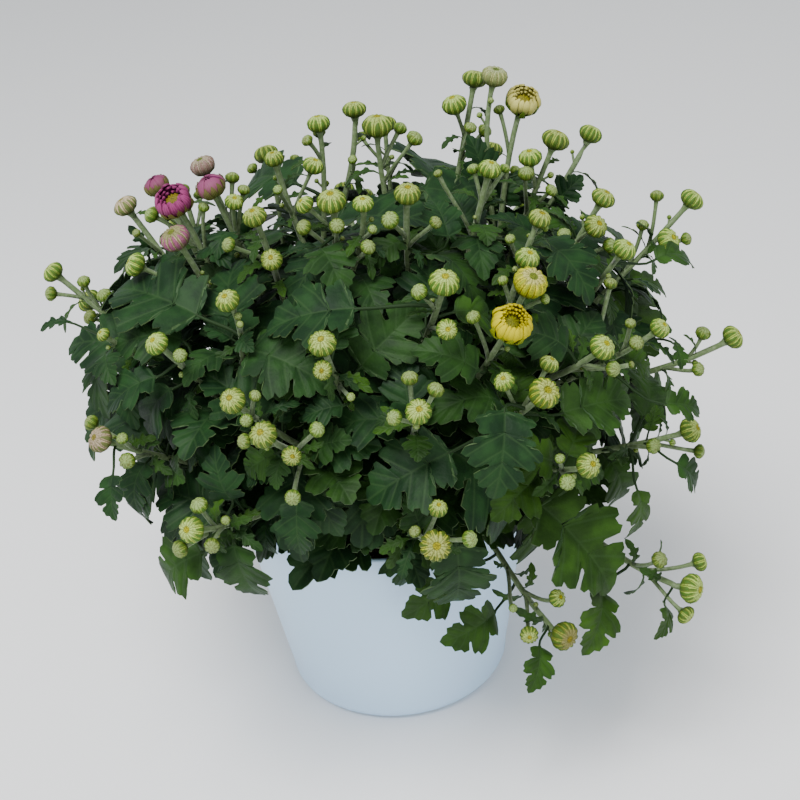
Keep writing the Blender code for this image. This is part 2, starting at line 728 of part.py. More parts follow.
def leaf_guard(leaf, sheet, faces):
    """A thicker blade and petiole, to keep a leaf clear of what it passes."""
    half = len(BLADE_HALF) + 1
    blade = [face for face in faces if 0 not in face and half not in face]
    shell = [point + leaf.up * LEAF_CLEAR for point in sheet] + [point - leaf.up * LEAF_CLEAR for point in sheet]
    double = blade + [tuple(corner + len(sheet) for corner in face) for face in blade]
    petiole = loft([leaf.foot.lerp(leaf.base, 0.4), leaf.base], [PETIOLE_WIDTH] * 2, 4)
    return (shell, double), petiole


def over_the_soil(sheet):
    """Keeps a leaf above the table and out of the pot's mouth."""
    for point in sheet[1:]:
        if point.z < LOWEST_LEAF:
            return False
        if math.hypot(point.x, point.y) < RIM_RADIUS and point.z < POT_HEIGHT + RIM_CLEAR:
            return False
    return True


def in_canopy(sheet):
    """Whether a leaf lies inside the plant's egg-shaped head of foliage."""
    for point in sheet:
        x, y, z = point - CANOPY_CENTRE
        height = CANOPY_RISE if z > 0 else CANOPY_DROP
        if (x / CANOPY_HALF_WIDTH) ** 2 + (y / CANOPY_HALF_DEPTH) ** 2 + (z / height) ** 2 > 1:
            return False
    return True


def take_leaf(leaf, room, leaves):
    sheet, faces = leaf_sheet(leaf)
    blade, petiole = leaf_guard(leaf, sheet, faces)
    if not room.clear(*blade) or not room.clear(*petiole, (leaf.stem,)):
        return False
    room.take(*blade, leaf.stem)
    room.take(*petiole, leaf.stem)
    leaves.append(leaf)
    return True


def nearest_foot(base, way, side, routes):
    """The place on a stem, a petiole's length away and further in, that a blade hangs from."""
    best = None
    for (name, _), route in routes.items():
        for share in np.linspace(0.15, 0.95, 17):
            foot, _ = along(route, share)
            away = (foot - base).length
            if away < SHORTEST_PETIOLE or (foot - CROWN).length > (base - CROWN).length + 0.003:
                continue
            petiole = unit(base - foot)
            if petiole.dot(way) < 0 or abs(petiole.dot(side)) > 0.8:
                continue
            if best is None or away < best[0]:
                best = away, name, foot
    return best[1], best[2]


def place_seen_leaves(routes, room, leaves):
    rng = random.Random(SEED + 2)
    for number, row in enumerate(LEAVES):
        for attempt in range(60):
            loose = 0 if attempt == 0 else 0.0015 + 0.00012 * attempt
            shift = Vector([rng.gauss(0, loose) for _ in range(3)])
            base = polar(*row.base) + shift
            tip = base + (polar(*row.tip) - polar(*row.base)) * (1 - 0.006 * attempt)
            form = BLADE_FORMS[row.form]
            end = blade_point(1, 0, form)
            chord = unit(tip - base)
            light = unit(unit(base - CROWN) + Vector((0, 0, 0.45)))
            flat = unit(light - chord * light.dot(chord))
            raised = math.atan2(-end.z, end.x)
            way = chord * math.cos(raised) + flat * math.sin(raised)
            up = flat * math.cos(raised) - chord * math.sin(raised)
            name, foot = nearest_foot(base, way, up.cross(way), routes)
            leaf = Placed(name, foot, base, way, up, (tip - base).length / end.length, row.form)
            if over_the_soil(leaf_sheet(leaf)[0]) and take_leaf(leaf, room, leaves):
                break
        else:
            print("no room for seen leaf", number)


def grow_leaf(name, route, rng, shares, lengths, room, leaves, tries):
    """Picks, out of seeded places along a stem, the clear one that is furthest from other leaves."""
    best = None
    for _ in range(tries):
        share = rng.uniform(*shares)
        foot, stem_way = along(route, share)
        away = Vector((foot.x, foot.y, 0.3 * (foot.z - CROWN.z)))
        away = unit(away - stem_way * away.dot(stem_way))
        turn = rng.uniform(-2.1, 2.1)
        pitch = math.radians(rng.uniform(48, 88))
        heading = away * math.cos(turn) + stem_way.cross(away) * math.sin(turn)
        way = unit(stem_way * math.cos(pitch) + heading * math.sin(pitch))
        light = unit(Vector((foot.x * 6, foot.y * 6, 1)) + Vector([rng.uniform(-0.35, 0.35) for _ in range(3)]))
        length = rng.uniform(*lengths)
        form = rng.randrange(len(BLADE_FORMS))
        if abs(light.dot(way)) > 0.93:
            continue
        up = unit(light - way * light.dot(way))
        leaf = Placed(name, foot, foot + way * (PETIOLE * length), way, up, length, form)
        sheet, faces = leaf_sheet(leaf)
        middle = sheet[-2]
        spread = min([(middle - other.base.lerp(other.base + other.way * other.length, 0.4)).length for other in leaves])
        score = min(spread, 0.05) + 0.25 * (middle - CROWN).length
        if (best and score <= best[0]) or not in_canopy(sheet) or not over_the_soil(sheet):
            continue
        blade, petiole = leaf_guard(leaf, sheet, faces)
        if room.clear(*blade) and room.clear(*petiole, (name,)):
            best = score, leaf
    return best[1] if best else None


def plan_leaves(sprays, routes, room):
    leaves = []
    place_seen_leaves(routes, room, leaves)
    rng = random.Random(SEED + 3)
    for name in sprays:
        carried = sum(leaf.stem == name for leaf in leaves)
        for number, count in enumerate(SEEN_SHOOT_LEAVES if name in SPRAYS else REAR_SHOOT_LEAVES):
            for turn in range(max(count - carried, 0)):
                low = 0.34 + 0.22 * turn
                shares = (low, low + 0.3)
                for lengths in BLADE_LENGTHS:
                    leaf = grow_leaf(name, routes[name, number], rng, shares, lengths, room, leaves, LEAF_TRIES)
                    if leaf:
                        break
                if leaf is None or not take_leaf(leaf, room, leaves):
                    print("no room for a leaf", name, turn)
    return leaves


# Making the planned pieces


def make_stem(name, points, first, axis, bloom_width, collection):
    """A stem as a bevelled curve that narrows towards its spray, and widens to seat a bloom."""
    curve = bpy.data.curves.new(name, "CURVE")
    curve.dimensions = "3D"
    curve.bevel_depth = 1
    curve.bevel_resolution = 0
    curve.use_fill_caps = True
    if bloom_width:
        neck = points[-1] - axis * (0.3 * bloom_width)
        points = points[:-1] + [neck, points[-1]]
    spline = curve.splines.new("POLY")
    spline.points.add(len(points) - 1)
    for number, point in enumerate(points):
        share = number / (len(points) - 1)
        spline.points[number].co = (*point, 1)
        thick = FOOT_RADIUS if first else TIP_RADIUS * 1.15
        spline.points[number].radius = thick + (TIP_RADIUS - thick) * share
    if bloom_width:
        spline.points[-1].radius = SEAT_RADIUS * bloom_width
    obj = bpy.data.objects.new(name, curve)
    collection.objects.link(obj)
    return baked(obj)


def make_leaf(placed, collection):
    leaf = add_mesh("leaf", *leaf_sheet(placed), collection)
    solid = leaf.modifiers.new("blade", "SOLIDIFY")
    solid.thickness = LEAF_THICKNESS
    solid.offset = 0
    return baked(leaf)


def bud_form(centre, axis, width, sides, rings, rib):
    points = [centre + axis * (width * height) for height, _ in rings]
    return loft(points, [width * radius for _, radius in rings], sides, rib)


GREEN_BUD = ((-0.30, 0.30), (-0.05, 0.50), (0.20, 0.44), (0.36, 0))
BLOOM = ((-SEAT, 0.22), (-0.18, 0.47), (0.14, 0.48), (0.34, 0.28), (0.30, 0))
OPEN_BLOOM = ((-SEAT, 0.22), (-0.20, 0.44), (0.10, 0.52), (0.30, 0.42), (0.34, 0.28), (0.20, 0))


def drop_flaps(obj):
    """Removes the pairs of faces a union can leave back to back on the same corners."""
    shape = bmesh.new()
    shape.from_mesh(obj.data)
    bmesh.ops.triangulate(shape, faces=shape.faces)
    same = {}
    for face in shape.faces:
        same.setdefault(frozenset(face.verts), []).append(face)
    flaps = [face for faces in same.values() if len(faces) > 1 for face in faces]
    bmesh.ops.delete(shape, geom=flaps, context="FACES")
    shape.to_mesh(obj.data)
    shape.free()


def make_green(name, routes, stalks, leaves, sprays, collection, leaf_green):
    """Fuses one stem with its shoots, green buds, stalks and leaves into one body."""
    pieces = make_collection(name + "_pieces")
    stem = None
    for number, spray in enumerate(sprays[name]):
        width = spray.width * MM
        centre, axis, _, _ = spray_frame(spray)
        label, home = ("shoot", pieces) if number else (name, collection)
        shoot = make_stem(label, routes[name, number], number == 0, axis, width if spray.bloom else 0, home)
        stem = stem or shoot
        if not spray.bloom:
            add_mesh("end_bud", *bud_form(centre, axis, width, 8, GREEN_BUD, 0.1), pieces)
    for owner, points, radii, width in stalks:
        if owner == name and width >= SMALLEST_BUD:
            add_mesh("side_bud", *loft(points, radii, 6, 0, 3), pieces)
    for leaf in leaves:
        if leaf.stem == name:
            make_leaf(leaf, pieces)
    fuse = stem.modifiers.new("fuse", "BOOLEAN")
    fuse.operation = "UNION"
    fuse.operand_type = "COLLECTION"
    fuse.collection = pieces
    stem = baked(stem)
    drop_flaps(stem)
    for obj in list(pieces.objects):
        bpy.data.objects.remove(obj, do_unlink=True)
    bpy.data.collections.remove(pieces)
    stem.data.materials.clear()
    stem.data.materials.append(leaf_green)
    return stem


def make_bloom(colour, centre, axis, width, collection):
    """An end bud in colour: two rings of ribbed petals that close over its eye."""
    sides, rings = (16, OPEN_BLOOM) if colour == "yellow" else (12, BLOOM)
    bloom = add_mesh("bloom_" + colour, *bud_form(centre, axis, width, sides, rings, 0.12), collection)
    bloom.data.materials.append(material(colour + "_petals", BLOOM_COLOURS[colour], 0.6))
    return bloom


def main():
    clear_scene()
    plant = make_collection("pot_chrysanthemum")
    cutters = make_collection("cutters")
    pot = make_pot(plant, cutters)
    make_soil(plant, cutters)
    make_stumps(plant)
    room = Room()
    shell = loft([Vector((0, 0, 0)), Vector((0, 0, POT_HEIGHT + 0.002))], [BASE_RADIUS + 0.001, RIM_RADIUS + 0.001], 24)
    room.take(shell[0], shell[1][:-2], "pot")
    inner = loft([Vector((0, 0, 0.09)), Vector((0, 0, POT_HEIGHT + 0.002))], [RIM_RADIUS - 0.008, RIM_RADIUS - 0.004], 24)
    room.take(inner[0], inner[1][:-2], "pot")
    for place in stump_places():
        top = Vector((0, 0, SOIL_LEVEL + STUMP_ABOVE + 0.002))
        room.take(*loft([place + Vector((0, 0, SOIL_LEVEL)), place + top], [STUMP_RADIUS - GAP] * 2, 8), "stump")
    ground = loft([Vector((0, 0, SOIL_LEVEL - 0.004)), Vector((0, 0, SOIL_LEVEL + 0.003))], [0.066, 0.066], 24)
    room.take(*ground, "soil")
    sprays = {**SPRAYS, **rear_sprays()}
    routes = plan_stems(sprays, room)
    ends, stalks = plan_buds(sprays, routes, room)
    leaves = plan_leaves(sprays, routes, room)
    leaf_green = material("green_leaf", (0.045, 0.105, 0.030), 0.75)
    for name in sprays:
        make_green(name, routes, stalks, leaves, sprays, plant, leaf_green)
    for name, number, centre, axis, width in ends:
        colour = sprays[name][number].bloom
        if colour:
            make_bloom(colour, centre, axis, width, plant)


main()
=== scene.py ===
"""A pot chrysanthemum in bud, growing in a plain white plastic pot."""

import json
import math
import random
from collections import namedtuple

import bmesh
import bpy
import numpy as np
from mathutils import Matrix, Quaternion, Vector, noise
from mathutils.bvhtree import BVHTree

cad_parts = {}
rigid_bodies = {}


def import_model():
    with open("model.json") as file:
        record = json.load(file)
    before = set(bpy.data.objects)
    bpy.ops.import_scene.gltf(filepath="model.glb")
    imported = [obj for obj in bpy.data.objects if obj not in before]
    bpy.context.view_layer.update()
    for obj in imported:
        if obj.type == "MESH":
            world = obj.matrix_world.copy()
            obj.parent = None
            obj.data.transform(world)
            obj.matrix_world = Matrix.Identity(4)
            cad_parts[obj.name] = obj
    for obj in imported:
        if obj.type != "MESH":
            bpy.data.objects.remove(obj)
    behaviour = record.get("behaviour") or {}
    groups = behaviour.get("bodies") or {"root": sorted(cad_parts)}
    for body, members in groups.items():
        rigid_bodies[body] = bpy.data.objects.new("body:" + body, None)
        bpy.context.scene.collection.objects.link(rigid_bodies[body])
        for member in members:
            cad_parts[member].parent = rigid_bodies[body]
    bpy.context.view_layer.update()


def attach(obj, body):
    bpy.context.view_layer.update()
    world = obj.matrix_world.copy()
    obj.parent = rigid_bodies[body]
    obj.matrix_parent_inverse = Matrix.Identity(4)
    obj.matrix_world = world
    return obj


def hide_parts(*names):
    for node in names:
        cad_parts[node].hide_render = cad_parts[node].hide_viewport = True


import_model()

# THE CAMERA
# A hand-held camera in front of the plant, a little above it and tilted, that looks down on it as
# the photograph does. Its place and lens were fitted to the pot's outline.
CAMERA_DISTANCE = 0.592
CAMERA_HEIGHT = 0.470
CAMERA_PITCH = math.radians(28.69)
CAMERA_YAW = math.radians(1.12)
CAMERA_ROLL = math.radians(-5.31)
FOCAL_PIXELS = 1453
FRAME_PIXELS = 800
SENSOR_WIDTH = 36
NEAREST_SEEN = 0.01


def in_scene(name, data):
    """A new object in the scene."""
    made = bpy.data.objects.new(name, data)
    bpy.context.scene.collection.objects.link(made)
    return made


camera_data = bpy.data.cameras.new("camera")
camera_data.sensor_width = SENSOR_WIDTH
camera_data.lens = SENSOR_WIDTH * FOCAL_PIXELS / FRAME_PIXELS
camera_data.clip_start = NEAREST_SEEN
camera = in_scene("camera", camera_data)
level = math.cos(CAMERA_PITCH)
ahead = Vector((math.sin(CAMERA_YAW) * level, math.cos(CAMERA_YAW) * level, -math.sin(CAMERA_PITCH)))
rightward = ahead.cross(Vector((0, 0, 1))).normalized()
upward = rightward.cross(ahead)
rolled_right = rightward * math.cos(CAMERA_ROLL) + upward * math.sin(CAMERA_ROLL)
rolled_up = upward * math.cos(CAMERA_ROLL) - rightward * math.sin(CAMERA_ROLL)
camera_place = Matrix((rolled_right, rolled_up, -ahead)).transposed().to_4x4()
camera_place.translation = Vector((0, -CAMERA_DISTANCE, CAMERA_HEIGHT))
camera.matrix_world = camera_place
bpy.context.scene.camera = camera

# THE POT
# One thin shell of white polypropylene, moulded in one piece. It tapers to a rounded base and stands
# on a flat pad and a foot ring, with drain holes in the channel between them.
MM = 0.001
RIM_RADIUS = 0.070
BASE_RADIUS = 0.053
POT_HEIGHT = 0.106
CORNER_RADIUS = 0.0075
CORNER_SET_IN = 0.86
CORNER_STEPS = 8
WALL = 0.0015
WALL_STEPS = 8
WALL_FOOT = CORNER_RADIUS + 0.002
BEAD = 0.0024
BEAD_STEPS = 6
PAD_RADIUS = 0.028
CHANNEL_RADIUS = 0.040
CHANNEL_DEPTH = 0.002
FLOOR = 0.0038
DRAIN_HOLES = 5
DRAIN_RADIUS = 0.004
DRAIN_SIDES = 24
POT_SIDES = 120
POT_CREASE = math.radians(35)
POT_COLOUR = (0.54, 0.745, 0.96, 1)


def unit(vector):
    """The vector at length 1."""
    return vector.normalized()


def turned(name, profile, sides):
    """A closed solid of revolution from its half section; a radius of 0 is a pole."""
    shape = bmesh.new()
    rings = []
    for radius, height in profile:
        count = sides if radius else 1
        turns = [2 * math.pi * number / sides for number in range(count)]
        rings.append([shape.verts.new((radius * math.cos(a), radius * math.sin(a), height)) for a in turns])
    for ring, following in zip(rings, rings[1:] + rings[:1]):
        if len(ring) == len(following) == 1:
            continue
        for number in range(sides):
            here, there = number, (number + 1) % sides
            corners = [ring[here % len(ring)], ring[there % len(ring)]]
            corners += [following[there % len(following)], following[here % len(following)]]
            shape.faces.new(list(dict.fromkeys(corners)))
    bmesh.ops.recalc_face_normals(shape, faces=shape.faces)
    mesh = bpy.data.meshes.new(name)
    shape.to_mesh(mesh)
    shape.free()
    return in_scene(name, mesh)


def settled(piece):
    """The plain mesh that an object's modifiers make of it."""
    return bpy.data.meshes.new_from_object(piece.evaluated_get(bpy.context.evaluated_depsgraph_get()))


def bored(solid, places, radius, low, high, sides):
    """Cuts upright round holes through a solid."""
    for x, y in places:
        drill = turned("drill", [(0, low), (radius, low), (radius, high), (0, high)], sides)
        drill.data.transform(Matrix.Translation((x, y, 0)))
        hole = solid.modifiers.new("hole", "BOOLEAN")
        hole.operation = "DIFFERENCE"
        hole.object = drill
        solid.data = settled(solid)
        solid.modifiers.clear()
        bpy.data.objects.remove(drill, do_unlink=True)


def finish_named(name, roughness, specular=0.5, colour=(0.8, 0.8, 0.8, 1)):
    """A new material with its node tree and its shader."""
    material = bpy.data.materials.new(name)
    material.use_nodes = True
    shader = material.node_tree.nodes["Principled BSDF"]
    shader.inputs["Roughness"].default_value = roughness
    shader.inputs["Specular IOR Level"].default_value = specular
    shader.inputs["Base Color"].default_value = colour
    return material, material.node_tree, shader


def noise_on_object(tree, scale, detail):
    """A noise pattern on the piece's own coordinates."""
    place = tree.nodes.new("ShaderNodeTexCoord")
    pattern = tree.nodes.new("ShaderNodeTexNoise")
    pattern.inputs["Scale"].default_value = scale
    pattern.inputs["Detail"].default_value = detail
    tree.links.new(place.outputs["Object"], pattern.inputs["Vector"])
    return pattern.outputs["Fac"]


def relief(tree, shader, height, strength, distance):
    """Feeds a height into the shader's normal."""
    bump = tree.nodes.new("ShaderNodeBump")
    bump.inputs["Strength"].default_value = strength
    bump.inputs["Distance"].default_value = distance
    tree.links.new(height, bump.inputs["Height"])
    tree.links.new(bump.outputs["Normal"], shader.inputs["Normal"])


def ranged(tree, value, low, high, to_low=0, to_high=1, kind="LINEAR"):
    """A value carried from one range over to another."""
    node = tree.nodes.new("ShaderNodeMapRange")
    node.interpolation_type = kind
    tree.links.new(value, node.inputs["Value"])
    for label, end in (("From Min", low), ("From Max", high), ("To Min", to_low), ("To Max", to_high)):
        node.inputs[label].default_value = end
    return node.outputs["Result"]


slope = math.atan2(RIM_RADIUS - BASE_RADIUS, POT_HEIGHT)
pot_profile = []
for step in range(BEAD_STEPS + 1):
    turn = math.pi - step * math.pi / BEAD_STEPS
    out, up = BEAD / 2 * math.cos(turn), BEAD / 2 * math.sin(turn)
    pot_profile.append((RIM_RADIUS - BEAD / 2 + out, POT_HEIGHT - BEAD / 2 + up))
corner_x = BASE_RADIUS - CORNER_RADIUS * CORNER_SET_IN
corner_top = corner_x + CORNER_RADIUS * math.cos(slope)
for step in range(1, WALL_STEPS):
    share = step / WALL_STEPS
    height = (POT_HEIGHT - BEAD / 2) * (1 - share) + CORNER_RADIUS * share
    pot_profile.append((RIM_RADIUS * (1 - share) + corner_top * share, height))
for step in range(CORNER_STEPS + 1):
    turn = slope - step / CORNER_STEPS * (math.pi / 2 + slope)
    pot_profile.append((corner_x + CORNER_RADIUS * math.cos(turn), CORNER_RADIUS * (1 + math.sin(turn))))
pot_profile += [
    (CHANNEL_RADIUS, 0),
    (CHANNEL_RADIUS - MM, CHANNEL_DEPTH),
    (PAD_RADIUS + MM, CHANNEL_DEPTH),
    (PAD_RADIUS, 0),
    (0, 0),
    (0, FLOOR),
    (BASE_RADIUS - CORNER_RADIUS, FLOOR),
    (BASE_RADIUS - WALL, WALL_FOOT),
]
pot = turned("pot_shell", pot_profile, POT_SIDES)
drain_ring = (PAD_RADIUS + CHANNEL_RADIUS) / 2
drain_turns = [2 * math.pi * (number + 0.5) / DRAIN_HOLES for number in range(DRAIN_HOLES)]
drains = [(drain_ring * math.cos(turn), drain_ring * math.sin(turn)) for turn in drain_turns]
bored(pot, drains, DRAIN_RADIUS, -MM, FLOOR + MM, DRAIN_SIDES)
pot.data.shade_smooth()
pot.data.set_sharp_from_angle(angle=POT_CREASE)

plastic, tree, shader = finish_named("moulded_white_plastic", 0.34, 0.4, POT_COLOUR)
uneven = ranged(tree, noise_on_object(tree, 14, 3), 0, 1, 0.28, 0.42)
tree.links.new(uneven, shader.inputs["Roughness"])
relief(tree, shader, noise_on_object(tree, 900, 2), 0.05, 0.0002)
pot.data.materials.clear()
pot.data.materials.append(plastic)
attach(pot, "root")
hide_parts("pot")

# THE GROWING MEDIUM
# Moist brown peat, filled in loose to a finger's breadth below the rim. Its crumbs are strewn by
# Geometry Nodes over a body that has a plain hole for each cutting.
GAP = 0.0003
SOIL_LEVEL = 0.097
SOIL_RELIEF = 0.0016
SOIL_RINGS = 16
SOIL_SIDES = 72
SOIL_EDGE_DROP = 0.002
SOIL_GRAIN = 0.0009
SOIL_GRAIN_SCALE = 380
HOLE_TOP = 0.12
HOLE_SIDES = 16
CRUMBS_A_SQUARE_METRE = 90000
CRUMB_SIZE = 0.0011
CRUMB_SPREAD = (0.35, 1.5)
CRUMB_SEED = 5
FACING_UP = 0.6
STUMP_BEARINGS = (212, 262, 312, 10, 112)
STUMP_RING = 0.031
STUMP_RADIUS = 0.0044
STUMP_SIDES = 8
STUMP_ABOVE = 0.036
STUMP_BELOW = 0.030


def inner_radius(height):
    """The pot's inside radius at a height above its corner."""
    share = (height - WALL_FOOT) / (POT_HEIGHT - BEAD - WALL_FOOT)
    return (BASE_RADIUS - WALL) + share * (RIM_RADIUS - BEAD - BASE_RADIUS + WALL)


def stump_places():
    """Where the cuttings stand: one in the middle and the others in a ring round it."""
    places = [Vector((0, 0, 0))]
    for bearing in STUMP_BEARINGS:
        turn = math.radians(bearing)
        places.append(Vector((STUMP_RING * math.cos(turn), STUMP_RING * math.sin(turn), 0)))
    return places


def new_tree(name, *inputs):
    """A Geometry Nodes tree with named inputs, given as (name, socket type, default value)."""
    tree = bpy.data.node_groups.new(name, "GeometryNodeTree")
    tree.interface.new_socket("Geometry", in_out="INPUT", socket_type="NodeSocketGeometry")
    for label, kind, value in inputs:
        item = tree.interface.new_socket(label, in_out="INPUT", socket_type="NodeSocket" + kind)
        if value is not None:
            item.default_value = value
    tree.interface.new_socket("Geometry", in_out="OUTPUT", socket_type="NodeSocketGeometry")
    return tree, tree.nodes.new("NodeGroupInput"), tree.nodes.new("NodeGroupOutput")


def feed(tree, socket, value):
    """Links an output to a socket, or sets the socket's own value."""
    if isinstance(value, bpy.types.NodeSocket):
        tree.links.new(value, socket)
    else:
        socket.default_value = value


def add_node(tree, kind, settings=(), **values):
    """A node in a tree. A value is a number, or the output that its socket is linked to."""
    node = tree.nodes.new(kind)
    for setting, value in dict(settings).items():
        setattr(node, setting, value)
    for label, value in values.items():
        sockets = [s for s in node.inputs if s.name.replace(" ", "_").lower() == label and s.enabled]
        feed(tree, sockets[0], value)
    return node


def math_node(tree, operation, *values):
    """An arithmetic node; each value is a number or an output."""
    node = tree.nodes.new("ShaderNodeMath")
    node.operation = operation
    for socket, value in zip(node.inputs, values):
        feed(tree, socket, value)
    return node.outputs[0]


def finish_tree(tree, shape, given, result):
    """Ends a tree: what it laid out is made real and gets its material."""
    real = add_node(tree, "GeometryNodeRealizeInstances", geometry=shape)
    skin = given.outputs["Material"]
    painted = add_node(tree, "GeometryNodeSetMaterial", geometry=real.outputs[0], material=skin)
    tree.links.new(painted.outputs[0], result.inputs[0])


def grown(piece, tree, **values):
    """Runs a tree on an object and turns the result into a plain mesh."""
    modifier = piece.modifiers.new(tree.name, "NODES")
    modifier.node_group = tree
    for item in tree.interface.items_tree:
        label = item.name.replace(" ", "_").lower()
        if item.in_out == "INPUT" and label in values:
            modifier[item.identifier] = values[label]
    mesh, name = settled(piece), piece.name
    bpy.data.objects.remove(piece, do_unlink=True)
    return in_scene(name, mesh)


def blended(tree, share, first, second, low=0, high=1):
    """A colour that goes from the first to the second while the share goes from low to high."""
    ramp = tree.nodes.new("ShaderNodeValToRGB")
    for stop, place, colour in zip(ramp.color_ramp.elements, (low, high), (first, second)):
        stop.position = place
        stop.color = colour
    tree.links.new(share, ramp.inputs["Fac"])
    return ramp.outputs["Color"]


soil_profile = [(0, SOIL_LEVEL)]
for ring in range(1, SOIL_RINGS):
    soil_profile.append(((inner_radius(SOIL_LEVEL) - SOIL_EDGE_DROP) * ring / SOIL_RINGS, SOIL_LEVEL))
soil_profile += [
    (inner_radius(SOIL_LEVEL - SOIL_EDGE_DROP) - GAP * 1.5, SOIL_LEVEL - SOIL_EDGE_DROP),
    (BASE_RADIUS - WALL - GAP * 1.5, WALL_FOOT),
    (BASE_RADIUS - CORNER_RADIUS - GAP, FLOOR + GAP),
    (0, FLOOR + GAP),
]
soil = turned("peat_body", soil_profile, SOIL_SIDES)
for vertex in soil.data.vertices:
    x, y, z = vertex.co
    if z > SOIL_LEVEL - 0.0005:
        swell = SOIL_RELIEF * math.sin(x * 210 + 1) * math.cos(y * 260 + x * 90)
        vertex.co.z += 0.6 * swell + SOIL_GRAIN * noise.noise(vertex.co * SOIL_GRAIN_SCALE)
stump_xy = [(place.x, place.y) for place in stump_places()]
hole_floor = SOIL_LEVEL - STUMP_BELOW - GAP
bored(soil, stump_xy, STUMP_RADIUS + GAP, hole_floor, HOLE_TOP, HOLE_SIDES)

peat, tree, shader = finish_named("moist_peat", 0.92)
crumb_noise = noise_on_object(tree, 420, 6)
browns = blended(tree, crumb_noise, (0.030, 0.014, 0.009, 1), (0.150, 0.075, 0.045, 1), 0.3, 0.72)
tree.links.new(browns, shader.inputs["Base Color"])
relief(tree, shader, crumb_noise, 0.8, 0.0006)

crumb_mesh = bpy.data.meshes.new("crumb")
lump = bmesh.new()
bmesh.ops.create_icosphere(lump, subdivisions=1, radius=1)
for vertex in lump.verts:
    vertex.co *= 1 + 0.5 * noise.noise(vertex.co * 1.7)
lump.to_mesh(crumb_mesh)
lump.free()
crumb = in_scene("crumb", crumb_mesh)

crumb_tree, given, result = new_tree(
    "strewn_crumbs",
    ("Crumb", "Object", None),
    ("Density", "Float", 1000.0),
    ("Size", "Float", 0.001),
    ("Seed", "Int", 1),
    ("Material", "Material", None),
)
facing = add_node(crumb_tree, "GeometryNodeInputNormal")
axes = add_node(crumb_tree, "ShaderNodeSeparateXYZ", vector=facing.outputs["Normal"])
more = {"operation": "GREATER_THAN"}
upper = add_node(crumb_tree, "FunctionNodeCompare", more, a=axes.outputs["Z"], b=FACING_UP)
spread = add_node(
    crumb_tree,
    "GeometryNodeDistributePointsOnFaces",
    mesh=given.outputs["Geometry"],
    selection=upper.outputs["Result"],
    density=given.outputs["Density"],
    seed=given.outputs["Seed"],
)
full_turns = (6.28, 6.28, 6.28)
any_turn = add_node(crumb_tree, "FunctionNodeRandomValue", {"data_type": "FLOAT_VECTOR"}, max=full_turns)
low, high = CRUMB_SPREAD
any_size = add_node(crumb_tree, "FunctionNodeRandomValue", {"data_type": "FLOAT"}, min=low, max=high)
sized = math_node(crumb_tree, "MULTIPLY", any_size.outputs[1], given.outputs["Size"])
shown = add_node(crumb_tree, "GeometryNodeObjectInfo", object=given.outputs["Crumb"])
laid = add_node(
    crumb_tree,
    "GeometryNodeInstanceOnPoints",
    points=spread.outputs["Points"],
    instance=shown.outputs["Geometry"],
    rotation=any_turn.outputs[0],
    scale=sized,
)
joined = add_node(crumb_tree, "GeometryNodeJoinGeometry")
crumb_tree.links.new(laid.outputs["Instances"], joined.inputs[0])
crumb_tree.links.new(given.outputs["Geometry"], joined.inputs[0])
finish_tree(crumb_tree, joined.outputs[0], given, result)
soil = grown(
    soil,
    crumb_tree,
    crumb=crumb,
    density=CRUMBS_A_SQUARE_METRE,
    size=CRUMB_SIZE,
    seed=CRUMB_SEED,
    material=peat,
)
bpy.data.objects.remove(crumb, do_unlink=True)
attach(soil, "root")
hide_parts("growing_medium")

# THE CUTTINGS
# Six rooted cuttings, as thick as a pencil, that were pinched off above the growing medium to make
# them branch. Their bark is green-brown and ridged, and each stands in its hole in the peat.
CUTTING_RIDGES = 9
CUTTING_RIDGE_DEPTH = 0.07
CUTTING_STEPS = 12
BARK_SHARE = 0.95
KNOB_DEPTH = 0.035
KNOB_TURN = 1.9


def add_curve(name, strands):
    """A curve object with a strand for each list of (point, radius)."""
    data = bpy.data.curves.new(name, "CURVE")
    data.dimensions = "3D"
    for strand in strands:
        spline = data.splines.new("POLY")
        spline.points.add(len(strand) - 1)
        for target, (point, radius) in zip(spline.points, strand):
            target.co = (*point, 1)
            target.radius = radius
    return in_scene(name, data)


sweep_tree, given, result = new_tree(
    "ridged_stems",
    ("Ridges", "Int", 5),
    ("Ridge Depth", "Float", 0.1),
    ("Material", "Material", None),
)
spline_share = add_node(sweep_tree, "GeometryNodeSplineParameter")
marked = add_node(
    sweep_tree,
    "GeometryNodeStoreNamedAttribute",
    {"data_type": "FLOAT", "domain": "POINT"},
    geometry=given.outputs["Geometry"],
    name="rise",
    value=spline_share.outputs["Factor"],
)
corners = math_node(sweep_tree, "MULTIPLY", given.outputs["Ridges"], 2)
circle = add_node(sweep_tree, "GeometryNodeCurvePrimitiveCircle", resolution=corners, radius=1.0)
corner_number = add_node(sweep_tree, "GeometryNodeInputIndex")
every_second = math_node(sweep_tree, "MODULO", corner_number.outputs[0], 2)
pulled = math_node(sweep_tree, "MULTIPLY", every_second, given.outputs["Ridge Depth"])
left = math_node(sweep_tree, "SUBTRACT", 1, pulled)
corner_place = add_node(sweep_tree, "GeometryNodeInputPosition")
inward = add_node(sweep_tree, "ShaderNodeVectorMath", {"operation": "SCALE"})
sweep_tree.links.new(corner_place.outputs[0], inward.inputs[0])
sweep_tree.links.new(left, inward.inputs["Scale"])
ridged = add_node(
    sweep_tree, "GeometryNodeSetPosition", geometry=circle.outputs["Curve"], position=inward.outputs[0]
)
girth = add_node(sweep_tree, "GeometryNodeInputRadius")
swept = add_node(
    sweep_tree,
    "GeometryNodeCurveToMesh",
    curve=marked.outputs[0],
    profile_curve=ridged.outputs[0],
    scale=girth.outputs[0],
    fill_caps=True,
)
smooth = add_node(sweep_tree, "GeometryNodeSetShadeSmooth", geometry=swept.outputs[0])
finish_tree(sweep_tree, smooth.outputs[0], given, result)

